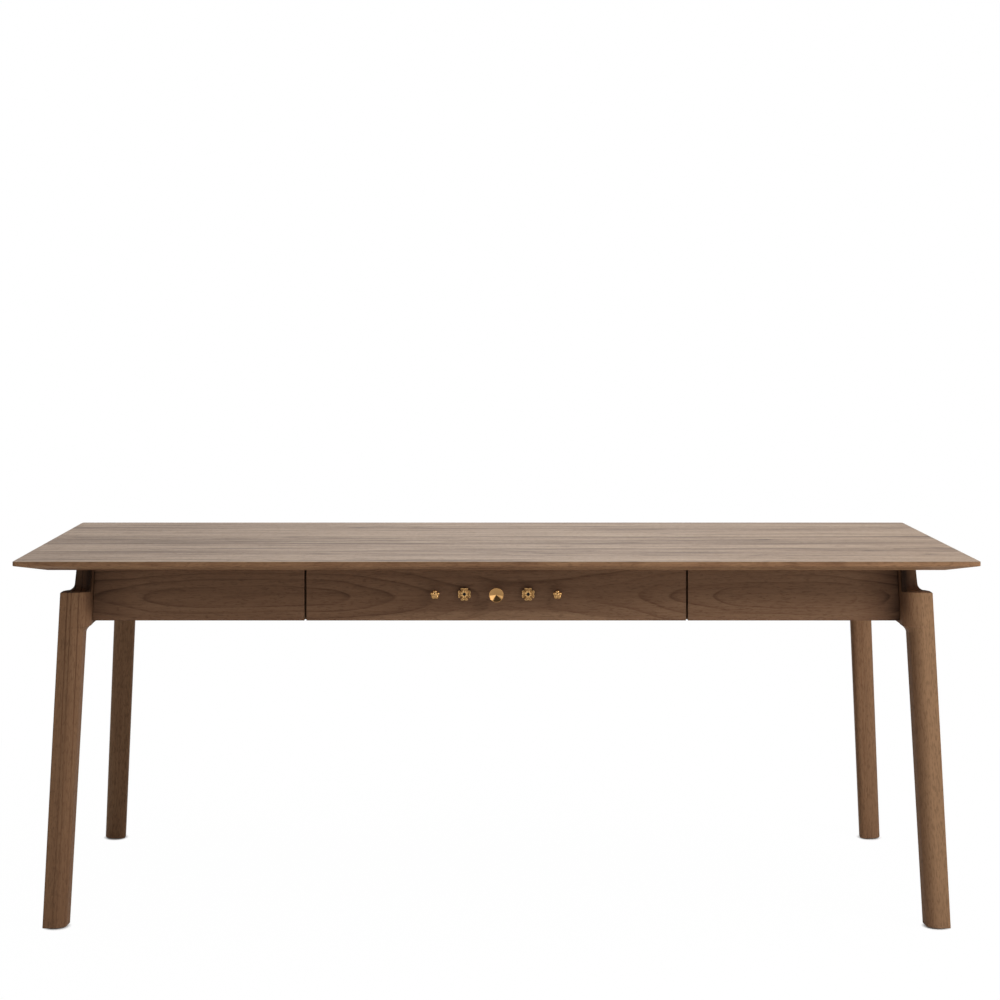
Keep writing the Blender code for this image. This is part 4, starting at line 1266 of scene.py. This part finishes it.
class TABLE_OT_legs(bpy.types.Operator):
    """Models one leg and mirrors it to the other three corners"""

    bl_idname = "table.legs"
    bl_label = "Legs"

    def execute(self, context):
        shape = model_leg(context.scene.leg_sizes)
        for end_name, end in ENDS.items():
            for side_name, side in SIDES.items():
                name = f"{end_name}_{side_name}"
                leg = mirrored(shape, f"leg_{name}_timber", (-side, -end, 1))
                timber = LEG_TIMBERS[name]
                figure = leg_figure(timber["lines"], timber["strength"], side, timber["painted_light_out"])
                wood = walnut(
                    f"walnut_leg_{name}", "Z", (3.1 * side, 1.7 * end, 0.4 * side * end), figure,
                    leg_place(side, end, 0.85), timber["shares"], timber["lift"],
                    tint=(1.03, 1.00, 0.92), flecked=0.54, raised=neck_painted_shade,
                )
                finish_piece(leg, f"leg_{name}_timber", "frame", [f"leg_{name}"], wood)
                smooth(leg, 34)
        bpy.data.objects.remove(shape)
        return {"FINISHED"}


class TABLE_OT_aprons(bpy.types.Operator):
    """Models the fixed boards between the legs"""

    bl_idname = "table.aprons"
    bl_label = "Aprons"

    def execute(self, context):
        arris = context.scene.apron_sizes.arris_radius
        splay = context.scene.leg_sizes.splay_share
        shares = (0.15, 0.35, 0.30)
        front = walnut(
            "walnut_front_board", "X", (0, 0, 0), front_figure, shares=(0.15, 0.35, 0.24), lift=0.02
        )
        back = walnut("walnut_back_board", "X", (5, 0, 0), ring_figure("X", 0.38), shares=shares)
        for name, side in SIDES.items():
            panel = model_board("panel", f"front_panel_{name}", splay, 0, (side,), arris)
            finish_piece(panel, f"front_board_{name}", "frame", [f"front_panel_{name}"], front)
            rings = ring_figure("Y", 0.5 + 0.2 * side)
            wood = walnut(f"walnut_end_board_{name}", "Y", (0, 9 * side, 0), rings, shares=shares)
            apron = model_board("apron", f"end_apron_{name}", splay, 1, (-1, 1), arris)
            finish_piece(apron, f"end_board_{name}", "frame", [f"end_apron_{name}"], wood)
        apron = model_board("apron", "back_apron", splay, 0, (-1, 1), arris)
        finish_piece(apron, "back_board", "frame", ["back_apron"], back)
        face = model_board("face", "drawer_front", 0, 0, (), arris)
        finish_piece(face, "drawer_face_board", "drawer", ["drawer_front"], front)
        return {"FINISHED"}


def ease_nodes(nodes, arris, ending, body, material):
    """Copies CAD nodes as pieces with eased edges, each named after its node."""
    for node in nodes:
        piece = copy_of_node(node)
        soften(piece, arris, 2)
        finish_piece(piece, f"{node}_{ending}", body, [node], material)


class TABLE_OT_inner_timbers(bpy.types.Operator):
    """Eases the edges of the rails, dividers and corner blocks under the top"""

    bl_idname = "table.inner_timbers"
    bl_label = "Rails, dividers and corner blocks"

    def execute(self, context):
        arris = context.scene.apron_sizes.hidden_arris
        blocks = [f"corner_block_{end}_{side}" for end in ENDS for side in SIDES]
        groups = {
            "X": [f"{end}_rail" for end in ENDS] + blocks,
            "Y": [f"divider_{side}" for side in SIDES],
        }
        for axis, nodes in groups.items():
            wood = walnut(f"walnut_inner_{axis.lower()}", axis, (2, 4, 6))
            ease_nodes(nodes, arris, "timber", "frame", wood)
        return {"FINISHED"}


class TABLE_OT_drawer_box(bpy.types.Operator):
    """Eases the edges of the drawer's walls and bottom and gives them pale wood"""

    bl_idname = "table.drawer_box"
    bl_label = "Drawer box"

    def execute(self, context):
        arris = context.scene.apron_sizes.hidden_arris
        groups = {
            "X": ["drawer_inner_front", "drawer_back", "drawer_bottom"],
            "Y": ["drawer_side_left", "drawer_side_right"],
        }
        for axis, nodes in groups.items():
            wood = pale_wood(f"box_wood_{axis.lower()}", axis, (1, 2, 3))
            ease_nodes(nodes, arris, "board", "drawer", wood)
        return {"FINISHED"}


class TABLE_OT_knobs(bpy.types.Operator):
    """Models the five brass knobs"""

    bl_idname = "table.knobs"
    bl_label = "Knobs"

    def execute(self, context):
        knobs = context.scene.knob_sizes
        disc_brass = brass(
            "brass_disc", knobs.disc_reach, hollow_depth=0.020, mottle=0.06, roughness=0.12
        )
        rosette_brass = brass(
            "brass_rosette", knobs.rosette_reach, hollow_depth=0.0007, mottle=1.60, roughness=0.42,
            lift=0.26, hollow_tone=-0.80,
        )
        blossom_brass = brass(
            "brass_blossom", BLOSSOM_BRIGHT_REACH, hollow_depth=0.006, mottle=0.45, roughness=0.24
        )
        kinds = [
            (model_disc, ["knob_disc"], disc_brass),
            (model_rosette, ["knob_rosette_left", "knob_rosette_right"], rosette_brass),
            (model_blossom, ["knob_blossom_left", "knob_blossom_right"], blossom_brass),
        ]
        black = mottled(
            "brass_blackened", context.scene.fitting_colours.eye, paler=2.0, places=(0.3, 0.8),
            scale=900, relief=0.2, roughness=0.55, gloss=0.12,
        )
        low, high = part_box("knob_disc")
        rise = (low.z + high.z) / 2
        for model, nodes, metal in kinds:
            places = [(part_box(node)[0].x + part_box(node)[1].x) / 2 for node in nodes]
            shape = model(knobs, Vector((places[0], APRON_FACE_Y, rise)))
            for node, place in zip(nodes, places):
                activate(shape)
                bpy.ops.object.duplicate(linked=False)
                knob = bpy.context.object
                knob.location.x = place - places[0]
                apply_place(knob)
                finish_piece(knob, f"{node}_brass", "drawer", [node], metal)
                if model is model_rosette:
                    blacken_eye(knob, Vector((place, APRON_FACE_Y, rise)), knobs, black)
            bpy.data.objects.remove(shape)
        return {"FINISHED"}


class TABLE_OT_metalwork(bpy.types.Operator):
    """Gives the slides, screws, bolts and foot glides their finishes"""

    bl_idname = "table.metalwork"
    bl_label = "Slides, screws, bolts and glides"

    def execute(self, context):
        fastener = steel("fastener_steel", (700, 700, 700))
        finishes = {
            "slide": steel("slide_steel", (900, 12, 900)),
            "foot": mottled(
                "glide_plastic_black", context.scene.fitting_colours.plastic, paler=1.9,
                places=(0.35, 0.75), scale=700, relief=0.3, roughness=0.5,
            ),
        }
        for name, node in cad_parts.items():
            if not node.hide_render:
                node.data.materials.clear()
                node.data.materials.append(finishes.get(name.split("_")[0], fastener))
        return {"FINISHED"}


# The stage. The camera stands where the photo was taken from.
CAMERA_PLACE = (-0.0548, -5.390, 1.285)
CAMERA_LENS = 86.2
CAMERA_SHIFT = (0.02995, -0.1928)
LAMPS = {
    "key": (1.6, (2.3, -1.8, 2.7)),
    "front": (3.0, (2.9, -4.4, 1.7)),
    "top": (3.0, (0.2, 0.4, 4.2)),
    "back": (2.6, (0.2, 3.2, 3.6)),
}  # width and place
LIT_SPOT = (0, 0, 0.65)
FOOT_MIDDLE = Vector((0.025, 0.030, 0))  # from a foot's outer corner
FOOT_DEPTH_SHARE = 0.8  # how much longer the shadow by a foot is from front to back
FOOT_SHADOW = (0.021, 0.031, 0.05)  # from, to and how much white shows at its darkest
FLOOR_SHADOW = (0.8, 2.2, 0.99)  # the same for the faint shadow under the table
FLOOR_IN_GLOSS = 0.52
FLOOR_GLOSS_SHARE = 0.95
# Where gloss shows the room dark: from and to along each direction, and how dark
DARK_BEHIND = (-0.10, -0.45)
DARK_ABOVE = (0.16, 0.26, 0.0, 0.92)
DARK_RIGHT = (0.30, 0.42, 1.0, 0.0)
DARK_LEFT = (-0.62, -0.44)


class TABLE_OT_studio(bpy.types.Operator):
    """Sets up the camera, the soft lights, the floor and the white backdrop"""

    bl_idname = "table.studio"
    bl_label = "Studio"

    def execute(self, context):
        studio = context.scene.studio_settings
        add_camera()
        for name, (width, place) in LAMPS.items():
            add_lamp(f"{name}_light", getattr(studio, f"{name}_power"), width, place)
        add_floor(studio)
        add_backdrop(studio)
        context.scene.view_settings.view_transform = "Standard"
        return {"FINISHED"}


def add_camera():
    bpy.ops.object.camera_add(location=CAMERA_PLACE, rotation=(math.pi / 2, 0, 0))
    camera = bpy.context.object
    camera.name = "photo_camera"
    camera.data.lens = CAMERA_LENS
    camera.data.sensor_width = 36
    camera.data.shift_x, camera.data.shift_y = CAMERA_SHIFT
    camera.data.clip_end = 60
    bpy.context.scene.camera = camera


def add_lamp(name, power, width, place):
    turn = (Vector(LIT_SPOT) - Vector(place)).to_track_quat("-Z", "Y").to_euler()
    bpy.ops.object.light_add(type="AREA", location=place, rotation=turn)
    lamp = bpy.context.object
    lamp.name = name
    lamp.data.shape = "DISK"
    lamp.data.size = width
    lamp.data.energy = power
    lamp.visible_camera = False


def add_floor(studio):
    """A pale floor that shows white, but for the shadow by the feet. It is clear from below."""
    bpy.ops.object.select_all(action="DESELECT")
    bpy.ops.mesh.primitive_plane_add(size=40, location=(0, 0, 0))
    floor = bpy.context.object
    floor.name = "studio_floor"
    recipe = Recipe("floor_pale")
    recipe.finish((*studio.floor, 1), 0.9, 0.1)
    in_gloss = recipe.add("ShaderNodeLightPath").outputs["Is Glossy Ray"]
    glow = recipe.add("ShaderNodeEmission", Strength=recipe.span(in_gloss, 0, 1, 1, FLOOR_IN_GLOSS))

    x, y, z = recipe.split(recipe.place)
    foot = LEG_LOW + FOOT_MIDDLE
    off_x = recipe.plus(foot.x, recipe.sum("ABSOLUTE", x))
    off_y = recipe.plus(foot.y, recipe.sum("ABSOLUTE", y))
    off_foot = recipe.length(recipe.joined(off_x, recipe.scaled(off_y, FOOT_DEPTH_SHARE), 0.0))
    by_foot = recipe.span(off_foot, *FOOT_SHADOW)
    away = recipe.span(recipe.length(recipe.place), *FLOOR_SHADOW)
    share = recipe.seen_share(recipe.product(away, by_foot), FLOOR_GLOSS_SHARE)

    seen = recipe.mixed(share, recipe.shader.outputs["BSDF"], glow.outputs["Emission"])
    from_below = recipe.add("ShaderNodeNewGeometry").outputs["Backfacing"]
    clear = recipe.add("ShaderNodeBsdfTransparent").outputs["BSDF"]
    surface = recipe.tree.nodes["Material Output"].inputs["Surface"]
    recipe.wire(surface, recipe.mixed(from_below, seen, clear))
    floor.data.materials.append(recipe.material)


def add_backdrop(studio):
    """White where it is seen, and an even soft fill for the rest of the light.

    What gloss shows of the room behind the camera is white, and dark high in the middle.
    """
    world = bpy.data.worlds.new("studio_backdrop")
    bpy.context.scene.world = world
    world.use_nodes = True
    nodes = Nodes(world.node_tree)
    background = world.node_tree.nodes["Background"]
    background.inputs["Color"].default_value = (1, 1, 1, 1)
    x, y, z = nodes.split(nodes.add("ShaderNodeTexCoord").outputs["Generated"])
    spans = ((y, DARK_BEHIND), (x, DARK_LEFT), (x, DARK_RIGHT), (z, DARK_ABOVE))
    dark = nodes.product(*(nodes.span(part, *ends) for part, ends in spans))
    in_gloss = nodes.sum("SUBTRACT", 1.0, dark)
    fill = nodes.span(z, 0.0, 1.0, studio.fill_low, studio.fill_high)
    unseen = nodes.sum("SUBTRACT", 1.0, nodes.seen_share(1.0, 1.0))
    strength = nodes.plus(nodes.seen_share(1.0, in_gloss), unseen, fill)
    nodes.wire(background.inputs["Strength"], strength)


class TABLE_PT_pieces(bpy.types.Panel):
    """Lists the table's pieces and what can be changed about them"""

    bl_idname = "TABLE_PT_pieces"
    bl_label = "Dining table"
    bl_space_type = "VIEW_3D"
    bl_region_type = "UI"
    bl_category = "Table"

    def draw(self, context):
        for group, operators in PANEL_ROWS.items():
            box = self.layout.box()
            settings = getattr(context.scene, group)
            for name in settings.bl_rna.properties.keys():
                if name not in ("rna_type", "name"):
                    box.prop(settings, name)
            for operator in operators:
                box.operator(operator.bl_idname)


SETTINGS = {
    "tabletop_sizes": TabletopSizes,
    "leg_sizes": LegSizes,
    "apron_sizes": ApronSizes,
    "knob_sizes": KnobSizes,
    "walnut_colours": WalnutColours,
    "fitting_colours": FittingColours,
    "studio_settings": StudioSettings,
}
PANEL_ROWS = {
    "tabletop_sizes": [TABLE_OT_tabletop],
    "leg_sizes": [TABLE_OT_legs],
    "apron_sizes": [TABLE_OT_aprons, TABLE_OT_inner_timbers, TABLE_OT_drawer_box],
    "knob_sizes": [TABLE_OT_knobs],
    "walnut_colours": [],
    "fitting_colours": [TABLE_OT_metalwork],
    "studio_settings": [TABLE_OT_studio],
}
OPERATORS = [operator for row in PANEL_ROWS.values() for operator in row]


def register():
    for group in SETTINGS.values():
        bpy.utils.register_class(group)
    for operator in OPERATORS:
        bpy.utils.register_class(operator)
    bpy.utils.register_class(TABLE_PT_pieces)
    for name, group in SETTINGS.items():
        setattr(bpy.types.Scene, name, PointerProperty(type=group))


def unregister():
    for name in SETTINGS:
        delattr(bpy.types.Scene, name)
    bpy.utils.unregister_class(TABLE_PT_pieces)
    for operator in reversed(OPERATORS):
        bpy.utils.unregister_class(operator)
    for group in reversed(SETTINGS.values()):
        bpy.utils.unregister_class(group)


def main():
    register()
    bpy.ops.table.studio()
    bpy.ops.table.tabletop()
    bpy.ops.table.legs()
    bpy.ops.table.aprons()
    bpy.ops.table.inner_timbers()
    bpy.ops.table.drawer_box()
    bpy.ops.table.knobs()
    bpy.ops.table.metalwork()


if __name__ == "__main__":
    main()
